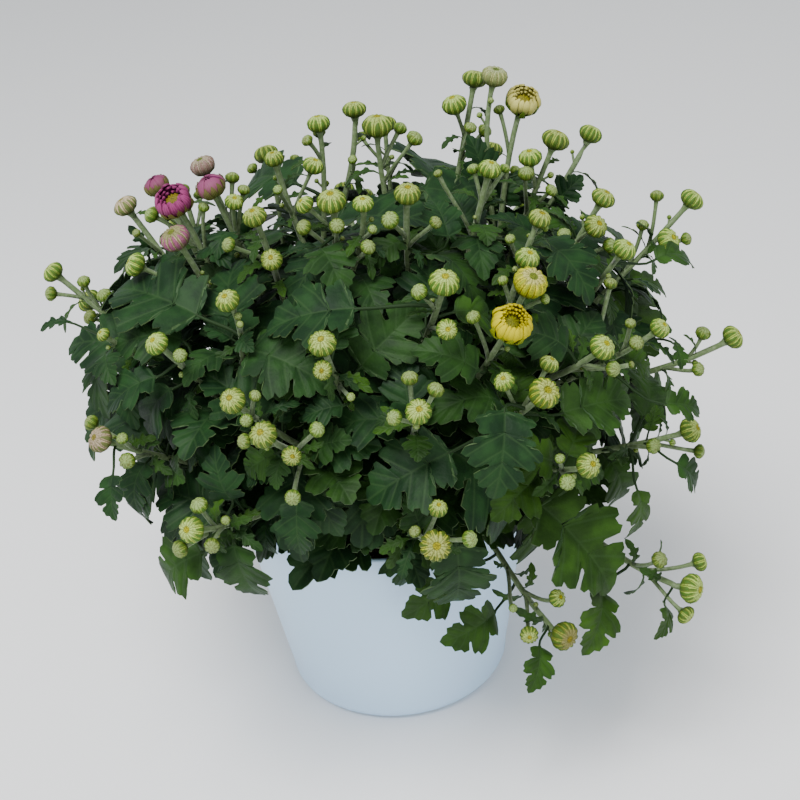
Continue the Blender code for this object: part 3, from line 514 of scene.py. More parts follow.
bark, tree, shader = finish_named("green_brown_bark", 0.85)
fibre = noise_on_object(tree, 260, 5)
bark_browns = blended(tree, fibre, (0.060, 0.045, 0.022, 1), (0.210, 0.180, 0.090, 1))
tree.links.new(bark_browns, shader.inputs["Base Color"])
relief(tree, shader, fibre, 0.5, 0.0004)

for number, place in enumerate(stump_places()):
    strand = []
    for step in range(CUTTING_STEPS + 1):
        height = SOIL_LEVEL - STUMP_BELOW + step * (STUMP_ABOVE + STUMP_BELOW) / CUTTING_STEPS
        knob = 1 + KNOB_DEPTH * math.sin(step * KNOB_TURN + number)
        strand.append((place + Vector((0, 0, height)), STUMP_RADIUS * BARK_SHARE * knob))
    cutting = grown(
        add_curve(f"cutting_bark_{number + 1}", [strand]),
        sweep_tree,
        ridges=CUTTING_RIDGES,
        ridge_depth=CUTTING_RIDGE_DEPTH,
        material=bark,
    )
    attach(cutting, "root")
    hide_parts(f"cutting_{number + 1}")

# THE STEMS
# Each cutting carries soft grey-green flowering stems, ribbed and downy, that fork into sprays of
# buds on short stalks. They grow from the cutting's side and arch out to the light.
CROWN = Vector((0, 0, 0.110))
UPRIGHT_LEAN = 24
TIP_LIFT = 0.25
FOOT_RADIUS = 0.0017
TIP_RADIUS = 0.0011
STALK_RADIUS = 0.0009
SEAT = 0.36
SUNK = 0.1
SPURT = 0.003
STEM_POINTS = {True: 7, False: 4}
LOW_LEAN = 90
FORK_POINTS = 3
ROUTE_TRIES = 40
BUD_TRIES = 24
STEM_OUT = 0.55
STEM_UP = 0.85
FIRST_FORK = 0.42
FORK_STEP = 0.06
LOWEST_FOOT = 0.006
FEET_ENDS = 0.012
FORK_BELOW = 0.006
FORK_GAP = 0.0017
LOWEST_FORK = 0.3
FLAT_SPACING = (0.0075, 0.0035)
TAKEN_COST = 9

SEED = 11
FINE_STEPS = 16
STEM_RIDGES = 6
STEM_RIDGE_DEPTH = 0.2
FINE_TIP = 0.00125
FINE_STALK = 0.0009

# Each spray stands where its end bud does, seen from the crown: bearing from +X towards +Y and
# lean from upright in degrees, then reach and bud width in millimetres. Its side buds follow, each
# with the clock hour it lies at (seen from outside, 12 towards the top of the plant), how far out
# from the end bud, how far below it and how wide it is. A bloom is an end bud in colour.
Spray = namedtuple("Spray", "bearing lean reach width sides bloom", defaults=[None])
SPRAYS = {
    "leafy_stem_01": [
        Spray(200, 27, 172, 15, [(7, 12, 2, 7.5), (0.5, 7, 3, 5.5), (1, 10, 7, 5)], "magenta"),
        Spray(186, 28, 175, 10.5, [], "pink"),
    ],
    "leafy_stem_02": [
        Spray(206, 22, 171, 12, [(11.5, 11, 3, 6.5), (1, 12, 6, 5.5), (2, 9, 8, 8)], "rose"),
        Spray(192, 21, 174, 11, [], "blush"),
    ],
    "leafy_stem_03": [
        Spray(215, 31, 171, 12.5, [(7.5, 22, 6, 10.5)], "striped_pink"),
        Spray(181, 34, 174, 11, [(3, 12, 9, 4)]),
    ],
    "leafy_stem_04": [Spray(235, 24, 169, 10, [(7, 14, 5, 6.5), (4.5, 15, 11, 9)])],
    "leafy_stem_05": [
        Spray(177, 50, 177, 10, [(5, 8, 5, 7), (3, 7, 16, 11.5), (0.5, 7, 12, 6.5), (1, 11, 22, 7.5)]),
        Spray(213, 47, 170, 6, []),
    ],
    "leafy_stem_06": [
        Spray(227, 45, 168, 10, [(3, 9, 5, 6)]),
        Spray(239, 37, 167, 10, [(4.5, 9, 5, 3)]),
    ],
    "leafy_stem_07": [Spray(220, 60, 164, 11, [(9.5, 14, 3, 7), (2, 8, 4, 5), (3.5, 12, 7, 7)])],
    "leafy_stem_08": [
        Spray(238, 69, 152, 11, [(12, 9, 2, 7.5), (7, 10, 2, 7.5), (4, 9, 4, 6.5), (2, 12, 6, 4)])
    ],
    "leafy_stem_09": [
        Spray(251, 54, 161, 11, [(8.5, 7, 2, 6.5), (4, 12, 5, 8), (2.5, 19, 6, 6.5), (5, 24, 9, 6.5)]),
        Spray(245, 50, 163, 10.5, [(2, 8, 3, 5), (4.5, 8, 4, 5.5)]),
    ],
    "leafy_stem_10": [Spray(261, 42, 165, 11, [(6, 9, 4, 8), (5, 20, 10, 3.5)])],
    "leafy_stem_11": [Spray(277, 52, 161, 10.5, [(9, 9, 2, 6.5), (0, 15, 4, 7), (1.5, 12, 3, 7)])],
    "leafy_stem_12": [Spray(277, 71, 148, 13, [(0.5, 14, 3, 8), (10.5, 9, 3, 5), (3, 14, 4, 7)], "lemon")],
    "leafy_stem_13": [Spray(299, 54, 162, 13, [(10.5, 15, 4, 8.5), (1.5, 15, 4, 8.5)], "cream_green")],
    "leafy_stem_14": [Spray(298, 44, 165, 15.5, [(10.5, 14, 4, 6)], "yellow")],
    "leafy_stem_15": [Spray(288, 36, 167, 12, [(9.5, 8, 2, 7), (6.5, 16, 8, 8.5)])],
    "leafy_stem_16": [
        Spray(306, 40, 168, 14, [(10.5, 10, 3, 4.5), (5, 8, 4, 4.5)], "soft_yellow"),
        Spray(313, 36, 162, 10.5, []),
        Spray(321, 33, 170, 9.5, [(9.5, 13, 7, 4.5)]),
    ],
    "leafy_stem_17": [Spray(313, 52, 166, 11, [(6, 9, 2, 7), (4.5, 16, 4, 3)])],
    "leafy_stem_18": [Spray(328, 55, 168, 9, [(11, 11, 5, 5), (9.5, 9, 7, 6.5), (0.5, 27, 7, 6)])],
    "leafy_stem_19": [Spray(348, 67, 175, 11, [(12, 9, 9, 7.5), (9, 10, 18, 6.5)])],
    "leafy_stem_20": [Spray(330, 72, 157, 11, [(9.5, 12, 12, 7), (5.5, 12, 3, 6.5)])],
    "leafy_stem_21": [Spray(304, 66, 155, 10.5, [(10.5, 10, 5, 4.5), (8.5, 9, 5, 7)])],
    "leafy_stem_22": [Spray(319, 93, 163, 12.5, [(11.5, 15, 10, 7.5), (2.5, 15, 3, 8.5), (6.5, 12, 3, 8.5)])],
    "leafy_stem_23": [Spray(301, 99, 134, 13, [(9.5, 13, 7, 8), (0.5, 14, 7, 8), (10.5, 22, 12, 4)], "lime")],
    "leafy_stem_24": [
        Spray(170, 4, 171, 10, [(4.5, 7, 5, 5.5), (8.5, 8, 6, 6)]),
        Spray(75, 5, 172, 10.5, [(0, 10, 19, 4.5)]),
    ],
    "leafy_stem_25": [Spray(216, 13, 170, 8.5, [(10, 9, 4, 5.5), (1.5, 15, 6, 9), (4.5, 8, 10, 4.5)])],
    "leafy_stem_26": [Spray(327, 5, 171, 13, [(4, 11, 3, 6.5), (5.5, 16, 4, 7.5)])],
    "leafy_stem_27": [Spray(290, 21, 169, 11, [(8, 11, 6, 7.5), (5, 14, 7, 5.5)])],
    "leafy_stem_28": [
        Spray(
            261,
            20,
            168,
            12,
            [(9, 9, 2, 8), (2, 7, 2, 7), (8, 13, 7, 7), (5.5, 8, 6, 6.5), (4.5, 20, 12, 6.5)],
        ),
        Spray(273, 21, 168, 8.5, [(5.5, 9, 6, 4)]),
    ],
    "leafy_stem_29": [Spray(33, 22, 186, 11.5, [(12, 9, 12, 11.5), (10, 10, 20, 6), (8, 9, 21, 7)])],
    "leafy_stem_30": [
        Spray(20, 27, 183, 15, [(1, 9, 6, 5.5)], "cream"),
        Spray(22, 22, 190, 12, [], "pale_cream"),
    ],
    "leafy_stem_31": [
        Spray(7, 31, 175, 12.5, [(11.5, 9, 10, 10.5), (10.5, 16, 15, 7.5), (8.5, 11, 19, 6)]),
        Spray(16, 38, 183, 11, []),
    ],
    "leafy_stem_32": [Spray(326, 23, 171, 10, [(12, 7, 3, 5.5), (3.5, 10, 2, 5), (11, 20, 6, 4)])],
    "leafy_stem_33": [Spray(345, 38, 173, 10.5, [(8.5, 9, 9, 10.5), (10, 15, 17, 6.5), (7, 14, 14, 7.5)])],
    "leafy_stem_34": [
        Spray(1, 51, 190, 11, [(9, 9, 19, 11.5), (7.5, 10, 14, 6), (0.5, 13, 8, 6.5), (11.5, 12, 21, 6)]),
        Spray(334, 44, 171, 10.5, []),
    ],
}

REAR_STEMS = 4
REAR_FIRST_BEARING = 52
REAR_STEP = 34
REAR_REACH = 166
REAR_SHOOTS = ((-8, 80), (9, 58), (-4, 36))
REAR_BUD_HOURS = (3, 9.5)


def polar(bearing, lean, reach):
    """A point seen from the crown: bearing and lean in degrees, reach in millimetres."""
    b, a, r = math.radians(bearing), math.radians(lean), reach * MM
    return CROWN + Vector((r * math.sin(a) * math.cos(b), r * math.sin(a) * math.sin(b), r * math.cos(a)))


def spray_frame(spray):
    """The end bud's centre with the spray's axis, its 3 o'clock and its 12 o'clock."""
    centre = polar(spray.bearing, spray.lean, spray.reach)
    axis = unit(unit(centre - CROWN) + Vector((0, 0, TIP_LIFT)))
    across = unit(Vector((0, 0, 1)).cross(axis))
    return centre, axis, across, axis.cross(across)


def along(route, share):
    """The point and direction at a share of a route's length."""
    steps = [(b - a).length for a, b in zip(route, route[1:])]
    left = share * sum(steps)
    for a, b, step in zip(route, route[1:], steps):
        if left <= step:
            return a + (b - a) * (left / step), unit(b - a)
        left -= step
    return route[-1], unit(route[-1] - route[-2])


def route_length(route):
    """The length of all of a route's steps."""
    return sum((b - a).length for a, b in zip(route, route[1:]))


def bend(start, start_way, end, end_way, count, spring=0.33):
    """Points on the cubic that leaves start along start_way and reaches end along end_way."""
    length = (end - start).length
    first = start + start_way * (length * spring)
    second = end - end_way * (length * spring)
    points = []
    for step in range(count + 1):
        t = step / count
        near, far = start * (1 - t) ** 3, end * t**3
        points.append(near + first * (3 * t * (1 - t) ** 2) + second * (3 * t * t * (1 - t)) + far)
    return points


def square_to(way, vector):
    """The part of a vector that is square to a way, at length 1."""
    return unit(vector - way * vector.dot(way))


def loft(points, radii, sides, rib=0, foot_sides=None):
    """Rings of a swept form, closed at both ends. It comes to a point where the last radius is 0,
    its first two rings may have half as many sides, and a rib pulls every second corner in."""
    corners, faces, rings = [], [], []
    way = unit(points[1] - points[0])
    side = unit(way.orthogonal())
    for number, point in enumerate(points):
        before, after = points[max(number - 1, 0)], points[min(number + 1, len(points) - 1)]
        way = unit(after - before)
        side = square_to(way, side)
        other = way.cross(side)
        count = foot_sides if foot_sides and number < 2 else sides
        if radii[number] == 0:
            rings.append([len(corners)] * sides)
            corners.append(point)
            continue
        rings.append([len(corners) + corner for corner in range(count)])
        for corner in range(count):
            turn = 2 * math.pi * corner / count
            radius = radii[number] * (1 - (rib if number else 0) * (corner % 2))
            corners.append(point + side * (radius * math.cos(turn)) + other * (radius * math.sin(turn)))
    for low, high in zip(rings, rings[1:]):
        step = len(high) // len(low)
        for corner in range(len(high)):
            a, b = low[corner // step], low[(corner + 1) // step % len(low)]
            c, d = high[(corner + 1) % len(high)], high[corner]
            faces.append(tuple(dict.fromkeys((a, b, c, d))))
    faces.append(tuple(reversed(rings[0])))
    if radii[-1]:
        faces.append(tuple(rings[-1]))
    return corners, faces


class Room:
    """What is already taken, kept as triangle trees with their boxes."""

    def __init__(self):
        self.trees, self.owners = [], []
        self.lows, self.highs = np.empty((0, 3)), np.empty((0, 3))

    def clear(self, corners, faces, friends=()):
        """Whether a shape crosses nothing but what belongs to its friends."""
        points = np.array([tuple(corner) for corner in corners])
        low, high = points.min(axis=0), points.max(axis=0)
        near = (self.lows < high).all(axis=1) & (self.highs > low).all(axis=1)
        tree = None
        for number in np.flatnonzero(near):
            if self.owners[number] not in friends:
                tree = tree or BVHTree.FromPolygons(corners, faces)
                if tree.overlap(self.trees[number]):
                    return False
        return True

    def take(self, corners, faces, owner):
        """Adds a shape to what is taken."""
        points = np.array([tuple(corner) for corner in corners])
        self.trees.append(BVHTree.FromPolygons(corners, faces))
        self.lows = np.vstack([self.lows, points.min(axis=0)])
        self.highs = np.vstack([self.highs, points.max(axis=0)])
        self.owners.append(owner)


def rear_sprays():
    """The stems at the back, each with three shoots and two side buds a shoot, by a seeded rule."""
    rng = random.Random(SEED)
    sprays = {}
    for number in range(REAR_STEMS):
        bearing = REAR_FIRST_BEARING + REAR_STEP * number
        shoots = []
        for turn, lean in REAR_SHOOTS:
            sides = []
            for hour in REAR_BUD_HOURS:
                out = rng.randint(10, 14)
                sides.append((hour + rng.uniform(-1, 1), out, 0.5 * out, rng.choice((6, 7.5))))
            reach = REAR_REACH + rng.randint(-6, 6) - 0.12 * max(lean - 50, 0)
            shoots.append(Spray(bearing + turn + rng.randint(-4, 4), lean, reach, rng.randint(10, 12), sides))
        sprays[f"leafy_stem_{len(SPRAYS) + number + 1}"] = shoots
    return sprays


def flat_cost(flat, height, wanted, used):
    """How far a flat of the cutting faces from the wanted way, and more where it is taken."""
    turn = 2 * math.pi * flat / STUMP_SIDES
    cost = abs((turn - wanted + math.pi) % (2 * math.pi) - math.pi)
    for other_flat, other_height in used:
        near = min((flat - other_flat) % STUMP_SIDES, (other_flat - flat) % STUMP_SIDES)
        if near < 2 and height - other_height < FLAT_SPACING[near]:
            cost += TAKEN_COST
    return cost


def stem_feet(sprays):
    """Gives each stem a flat of its cutting to grow from, the ones that lean most lowest down."""
    places = stump_places()
    turns = (0,) + STUMP_BEARINGS
    homes = {number: [] for number in range(len(places))}
    for name, shoots in sprays.items():
        main = shoots[0]
        if main.lean < UPRIGHT_LEAN:
            homes[0].append((main.lean, name))
        else:
            off = [abs((main.bearing - turn + 180) % 360 - 180) for turn in turns]
            homes[1 + off[1:].index(min(off[1:]))].append((main.lean, name))
    feet = {}
    apothem = STUMP_RADIUS * math.cos(math.pi / STUMP_SIDES)
    for number, stems in homes.items():
        stems.sort(reverse=True)
        step = (STUMP_ABOVE - FEET_ENDS) / max(len(stems) - 1, 1)
        used = []
        for order, (_, name) in enumerate(stems):
            height = SOIL_LEVEL + LOWEST_FOOT + step * order
            goal = spray_frame(sprays[name][0])[0] - places[number]
            wanted = math.atan2(goal.y, goal.x)
            ranked = sorted(range(STUMP_SIDES), key=lambda flat: flat_cost(flat, height, wanted, used))
            flat = ranked[0]
            used.append((flat, height))
            turn = 2 * math.pi * flat / STUMP_SIDES
            out = Vector((math.cos(turn), math.sin(turn), 0))
            feet[name] = (places[number] + out * (apothem + GAP) + Vector((0, 0, height)), out)
    return feet


def shaken(rng, most):
    """A random vector with no part over the given size."""
    return Vector([rng.uniform(-most, most) for _ in range(3)])


def plan_stems(sprays, room):
    """Routes every stem and every forked shoot clear of the others, as the solids are routed, and
    draws each of them a second time as a smooth curve."""
    rng = random.Random(SEED)
    feet = stem_feet(sprays)
    routes, smooth_routes = {}, {}
    for name in sorted(sprays, key=lambda name: -sprays[name][0].lean):
        foot, out = feet[name]
        for number, spray in enumerate(sprays[name]):
            centre, axis, across, _ = spray_frame(spray)
            sunk = SEAT if spray.bloom else SUNK
            tip = centre - axis * (sunk * spray.width * MM + (GAP if spray.bloom else 0))
            best = None
            for attempt in range(ROUTE_TRIES):
                loose = 0.0 if attempt == 0 else min(0.06 + 0.02 * attempt, 0.5)
                shake = shaken(rng, loose)
                spring = 0.33 + rng.uniform(-0.4, 0.4) * loose
                if number == 0:
                    start = foot + out * SPURT
                    rise = unit(out * STEM_OUT + Vector((0, 0, STEM_UP)) + shake)
                    count = STEM_POINTS[spray.lean > LOW_LEAN]
                    points = [foot] + bend(start, rise, tip, unit(axis + shake * 0.4), count, spring)
                else:
                    share = FIRST_FORK + FORK_STEP * number + rng.uniform(-0.3, 0.3) * loose
                    start, way = along(routes[name, 0], share)
                    rise = unit(way + unit(tip - start) + shake)
                    points = bend(start, rise, tip, axis, FORK_POINTS, spring)
                radii = [TIP_RADIUS + GAP] * len(points)
                check = points if number == 0 else points[1:]
                body = loft(check, [FOOT_RADIUS + GAP] * 2 + radii[2 : len(check)], 5)
                friends = (name,) if number else ()
                if number == 0:
                    fine = bend(start, rise, tip, unit(axis + shake * 0.4), FINE_STEPS, spring)
                else:
                    smooth_start, _ = along(smooth_routes[name, 0], share)
                    fine = bend(smooth_start, rise, tip, axis, FINE_STEPS, spring)
                if best is None:
                    best = points, body, fine
                if room.clear(*body, friends):
                    best = points, body, fine
                    break
            routes[name, number] = best[0]
            smooth_routes[name, number] = ([foot] if number == 0 else []) + best[2]
            room.take(best[1][0], best[1][1], name)
    return routes, smooth_routes


def bud_axis(axis, out_way):
    """Where a side bud aims: along its spray and a little outwards."""
    return unit(axis * 0.75 + out_way * 0.5)


Stalk = namedtuple("Stalk", "stem number fork neck bud aim size")


def plan_buds(sprays, routes, room):
    """Places the end buds and the side buds on their stalks."""
    rng = random.Random(SEED + 1)
    ends, stalks = [], []
    for name, shoots in sprays.items():
        for number, spray in enumerate(shoots):
            centre, axis, across, up = spray_frame(spray)
            ends.append((name, number, centre, axis, spray.width * MM))
            rise, thin, thick = (share * spray.width * MM for share in (0.4, 0.3, 0.53))
            body = loft([centre - axis * rise, centre, centre + axis * rise], [thin, thick, thin], 8)
            room.take(*body, name)
    for name, shoots in sprays.items():
        for number, spray in enumerate(shoots):
            centre, axis, across, up = spray_frame(spray)
            route = routes[name, number]
            length = route_length(route)
            for order, (hour, out, drop, width) in enumerate(spray.sides):
                for attempt in range(BUD_TRIES):
                    loose = 0 if attempt == 0 else 0.12 * attempt
                    turn = math.radians(30 * hour) + rng.uniform(-0.12, 0.12) * loose
                    way = across * math.sin(turn) + up * math.cos(turn)
                    reach = (out + rng.uniform(-1, 1) * loose) * MM
                    below = (drop + rng.uniform(-1, 1) * loose) * MM
                    bud = centre + way * reach - axis * below
                    size = width * MM
                    aim = bud_axis(axis, way)
                    back = below + 0.8 * reach + FORK_BELOW + FORK_GAP * order
                    fork = max(1 - back / length, LOWEST_FORK)
                    start, stem_way = along(route, fork)
                    neck = bud - aim * (0.45 * size)
                    points = [start, neck] + [bud + aim * (share * size) for share in (-0.12, 0.18, 0.36)]
                    thin = STALK_RADIUS
                    radii = [thin * 0.62, thin * 1.1, 0.5 * size, 0.46 * size, 0]
                    ball = loft(points[1:], [radius + GAP * 1.5 for radius in radii[1:]], 6)
                    stick = loft([start.lerp(neck, 0.3), neck], [thin + GAP * 1.5] * 2, 5)
                    if room.clear(*ball) and room.clear(*stick, (name,)):
                        room.take(*ball, name)
                        room.take(*stick, name)
                        stalks.append(Stalk(name, number, fork, neck, bud, aim, size))
                        break
    return ends, stalks


room = Room()
pot_top = Vector((0, 0, POT_HEIGHT + 0.002))
shell = loft([Vector((0, 0, 0)), pot_top], [BASE_RADIUS + MM, RIM_RADIUS + MM], 24)
room.take(shell[0], shell[1][:-2], "pot")
inner = loft([Vector((0, 0, 0.09)), pot_top], [RIM_RADIUS - 0.008, RIM_RADIUS - 0.004], 24)
room.take(inner[0], inner[1][:-2], "pot")
for place in stump_places():
    top = Vector((0, 0, SOIL_LEVEL + STUMP_ABOVE + 0.002))
    room.take(*loft([place + Vector((0, 0, SOIL_LEVEL)), place + top], [STUMP_RADIUS - GAP] * 2, 8), "stump")
ground = loft([Vector((0, 0, SOIL_LEVEL - 0.004)), Vector((0, 0, SOIL_LEVEL + 0.003))], [0.066, 0.066], 24)
room.take(*ground, "soil")
sprays = {**SPRAYS, **rear_sprays()}
routes, smooth_routes = plan_stems(sprays, room)
ends, stalks = plan_buds(sprays, routes, room)


def attribute_node(tree, name):
    """A number that the piece's mesh carries."""
    node = tree.nodes.new("ShaderNodeAttribute")
    node.attribute_name = name
    return node.outputs["Fac"]


def mixed(tree, share, first, second):
    """A mix of two colours; each is a colour or an output."""
    node = tree.nodes.new("ShaderNodeMixRGB")
    for socket, value in zip(node.inputs, (share, first, second)):
        feed(tree, socket, value)
    return node.outputs["Color"]


stem_skin, tree, shader = finish_named("downy_green_stem", 0.7)
shader.inputs["Sheen Weight"].default_value = 0.12
shader.inputs["Sheen Roughness"].default_value = 0.45
stem_greens = ((0.030, 0.055, 0.012, 1), (0.095, 0.150, 0.050, 1))
rising = blended(tree, attribute_node(tree, "rise"), *stem_greens, 0, 0.7)
down = noise_on_object(tree, 600, 4)
streaked = mixed(tree, ranged(tree, down, 0.45, 0.75, 0, 0.7), rising, (0.210, 0.260, 0.150, 1))
tree.links.new(streaked, shader.inputs["Base Color"])
relief(tree, shader, down, 0.5, 0.0003)

strands = {name: [] for name in sprays}
for (name, number), route in smooth_routes.items():
    spray = sprays[name][number]
    width = spray.width * MM
    centre, axis, _, _ = spray_frame(spray)
    thick = FOOT_RADIUS if number == 0 else FINE_TIP * 1.05
    strand = []
    for step, point in enumerate(route[:-1]):
        strand.append((point, thick + (FINE_TIP - thick) * step / (len(route) - 1)))
    seat = centre - axis * (0.32 * width)
    strand.append((seat - axis * (0.28 * width), FINE_TIP))
    strand.append((seat - axis * (0.10 * width), FINE_TIP * 1.2))
    strand.append((seat, 0.18 * width))
    strands[name].append(strand)

# THE LEAVES
# Soft matt blades with toothed lobes, dark green above and paler under, each on a petiole that runs
# on under it as its midrib. The larger ones stand where the solids' leaves do.
SEEN_SHOOT_LEAVES = (2,)
REAR_SHOOT_LEAVES = (2, 2, 1)
LEAF_TRIES = 44
BLADE_LENGTHS = ((0.038, 0.052), (0.026, 0.038))
PETIOLE = 0.32
SHORTEST_PETIOLE = 0.009
PETIOLE_WIDTH = 0.0016
PETIOLE_FOOT_WIDTH = 0.0009
LEAF_CLEAR = 0.0009
LOWEST_LEAF = 0.03
RIM_CLEAR = 0.006
CANOPY_CENTRE = Vector((0, 0.005, 0.158))
CANOPY_HALF_WIDTH = 0.142
CANOPY_HALF_DEPTH = 0.136
CANOPY_RISE = 0.108
CANOPY_DROP = 0.080
BLADE_THICKNESS = 0.0005
PLACE_TRIES = 60
LEAF_SWING = 2.1
LEAF_PITCHES = (48, 88)
NEAR_EDGE_ON = 0.93

# The leaves that show best: where each blade starts and where its tip is, seen from the crown, as
# bearing, lean and reach. The nearest stem carries it. The other leaves follow a rule.
Leaf = namedtuple("Leaf", "base tip form")
LEAVES = (
    Leaf((241, 41, 147), (261, 46, 143), 0),
    Leaf((268, 35, 153), (245, 38, 150), 2),
    Leaf((291, 47, 150), (273, 40, 152), 0),
    Leaf((283, 58, 137), (266, 64, 131), 2),
    Leaf((254, 63, 136), (254, 73, 132), 0),
    Leaf((236, 58, 66), (229, 80, 106), 0),
    Leaf((254, 60, 62), (248, 82, 102), 2),
    Leaf((270, 58, 62), (268, 85, 99), 3),
    Leaf((284, 60, 64), (285, 80, 101), 0),
    Leaf((298, 60, 66), (304, 80, 104), 2),
    Leaf((240, 73, 129), (242, 86, 117), 0),
    Leaf((242, 68, 137), (239, 59, 145), 1),
    Leaf((225, 49, 157), (219, 56, 163), 0),
    Leaf((225, 39, 153), (202, 42, 167), 2),
    Leaf((224, 43, 148), (214, 49, 162), 1),
    Leaf((293, 54, 153), (288, 66, 147), 0),
    Leaf((304, 74, 115), (312, 94, 136), 2),
    Leaf((311, 95, 130), (303, 103, 140), 0),
    Leaf((296, 104, 100), (280, 105, 106), 0),
    Leaf((288, 97, 82), (272, 104, 90), 1),
    Leaf((283, 75, 121), (283, 93, 106), 0),
    Leaf((296, 100, 127), (291, 105, 139), 0),
    Leaf((323, 79, 135), (320, 88, 131), 1),
    Leaf((307, 57, 141), (322, 61, 151), 2),
    Leaf((328, 34, 155), (324, 46, 155), 0),
    Leaf((254, 20, 156), (266, 30, 152), 1),
)

# Small leaves near the buds, in the same terms.
SMALL_LEAVES = (
    Leaf((264, 48, 143), (255, 50, 142), 0),
    Leaf((237, 74, 140), (228, 82, 138), 1),
    Leaf((224, 63, 157), (227, 69, 159), 2),
    Leaf((211, 49, 167), (218, 52, 168), 0),
    Leaf((319, 96, 156), (313, 98, 162), 1),
    Leaf((323, 74, 156), (326, 80, 158), 0),
    Leaf((328, 58, 170), (326, 61, 170), 2),
    Leaf((322, 64, 162), (327, 68, 168), 0),
    Leaf((342, 49, 170), (346, 54, 177), 3),
    Leaf((206, 48, 175), (203, 51, 183), 1),
    Leaf((302, 26, 153), (307, 19, 157), 0),
    Leaf((20, 24, 139), (23, 19, 159), 0),
    Leaf((15, 35, 134), (23, 22, 138), 2),
    Leaf((13, 38, 150), (11, 39, 166), 0),
    Leaf((17, 30, 137), (14, 31, 159), 1),
    Leaf((180, 21, 133), (180, 24, 148), 0),
    Leaf((180, 36, 152), (180, 36, 166), 1),
    Leaf((42, 14, 123), (30, 17, 138), 0),
)

# The blade that the solids have: half its outline from its base to its tip, as shares of its length.
BLADE_HALF = (
    (0.00, 0.035), (0.17, 0.39), (0.33, 0.15), (0.42, 0.40), (0.62, 0.44),
    (0.62, 0.15), (0.84, 0.21),
)
BLADE_RIB = (0.28, 0.60)
BladeForm = namedtuple("BladeForm", "arch fold twist")
BLADE_FORMS = (
    BladeForm(0.55, 0.16, 0.10),
    BladeForm(0.85, 0.05, -0.25),
    BladeForm(0.35, 0.22, 0.25),
    BladeForm(1.15, 0.10, 0.00),
)
Placed = namedtuple("Placed", "stem number share foot base way up length form")


def blade_point(x, y, form):
    """Bends a flat blade point: the blade arches along its length, folds along its rib and twists."""
    turn = form.arch * x
    lift = form.fold * abs(y) + form.twist * x * y
    return Vector((x * math.cos(turn) + lift * math.sin(turn), y, lift * math.cos(turn) - x * math.sin(turn)))


def leaf_sheet(leaf):
    """A leaf's petiole and blade as one sheet of triangles."""
    form = BLADE_FORMS[leaf.form]
    side = leaf.up.cross(leaf.way)

    def at(x, y):
        point = blade_point(x, y, form) * leaf.length
        return leaf.base + leaf.way * point.x + side * point.y + leaf.up * point.z

    half = len(BLADE_HALF) + 1
    points = []
    petiole = unit(leaf.base - leaf.foot)
    across = square_to(petiole, side)
    for sign in (1, -1):
        points.append(leaf.foot + across * (sign * PETIOLE_FOOT_WIDTH / 2))
        points += [at(x, sign * y) for x, y in BLADE_HALF]
    points.append(at(1, 0))
    points += [at(x, 0) for x in BLADE_RIB]
    tip, low, high = 2 * half, 2 * half + 1, 2 * half + 2
    faces = [(0, half, half + 1), (0, half + 1, 1), (1, half + 1, low)]
    wing = [(1, low, 2), (2, low, 3), (3, low, high), (3, high, 6)]
    wing += [(3, 6, 4), (4, 6, 5), (6, high, tip), (6, tip, 7)]
    for base in (0, half):
        for corners in wing:
            face = tuple(corner + base if corner < half else corner for corner in corners)
            faces.append(face if base else tuple(reversed(face)))
    return points, faces


def leaf_guard(leaf, sheet, faces, clear):
    """A thicker blade and petiole, to keep a leaf clear of what it passes."""
    half = len(BLADE_HALF) + 1
    blade = [face for face in faces if 0 not in face and half not in face]
    shell = [point + leaf.up * clear for point in sheet] + [point - leaf.up * clear for point in sheet]
    double = blade + [tuple(corner + len(sheet) for corner in face) for face in blade]
    width = PETIOLE_WIDTH if clear == LEAF_CLEAR else PETIOLE_WIDTH / 2
    petiole = loft([leaf.foot.lerp(leaf.base, 0.4), leaf.base], [width] * 2, 4)
    return (shell, double), petiole


def over_the_soil(sheet):
    """Keeps a leaf above the table and out of the pot's mouth."""
    for point in sheet[1:]:
        if point.z < LOWEST_LEAF:
            return False
        if math.hypot(point.x, point.y) < RIM_RADIUS and point.z < POT_HEIGHT + RIM_CLEAR:
            return False
    return True


def in_canopy(sheet):
    """Whether a leaf lies inside the plant's egg-shaped head of foliage."""
    for point in sheet:
        x, y, z = point - CANOPY_CENTRE
        height = CANOPY_RISE if z > 0 else CANOPY_DROP
        if (x / CANOPY_HALF_WIDTH) ** 2 + (y / CANOPY_HALF_DEPTH) ** 2 + (z / height) ** 2 > 1:
            return False
    return True


def take_leaf(leaf, room, leaves, clear=LEAF_CLEAR):
    """Keeps a leaf if it is clear of all that is there."""
    sheet, faces = leaf_sheet(leaf)
    blade, petiole = leaf_guard(leaf, sheet, faces, clear)
    if not room.clear(*blade) or not room.clear(*petiole, (leaf.stem,)):
        return False
    room.take(*blade, leaf.stem)
    room.take(*petiole, leaf.stem)
    leaves.append(leaf)
    return True


def nearest_foot(base, way, side, routes):
    """The place on a stem, a petiole's length away and further in, that a blade hangs from."""
    best = None
    for (name, number), route in routes.items():
        for share in np.linspace(0.15, 0.95, 17):
            foot, _ = along(route, share)
            away = (foot - base).length
            if away < SHORTEST_PETIOLE or (foot - CROWN).length > (base - CROWN).length + 0.003:
                continue
            petiole = unit(base - foot)
            if petiole.dot(way) < 0 or abs(petiole.dot(side)) > 0.8:
                continue
            if best is None or away < best[0]:
                best = away, name, number, share, foot
    return best[1:]


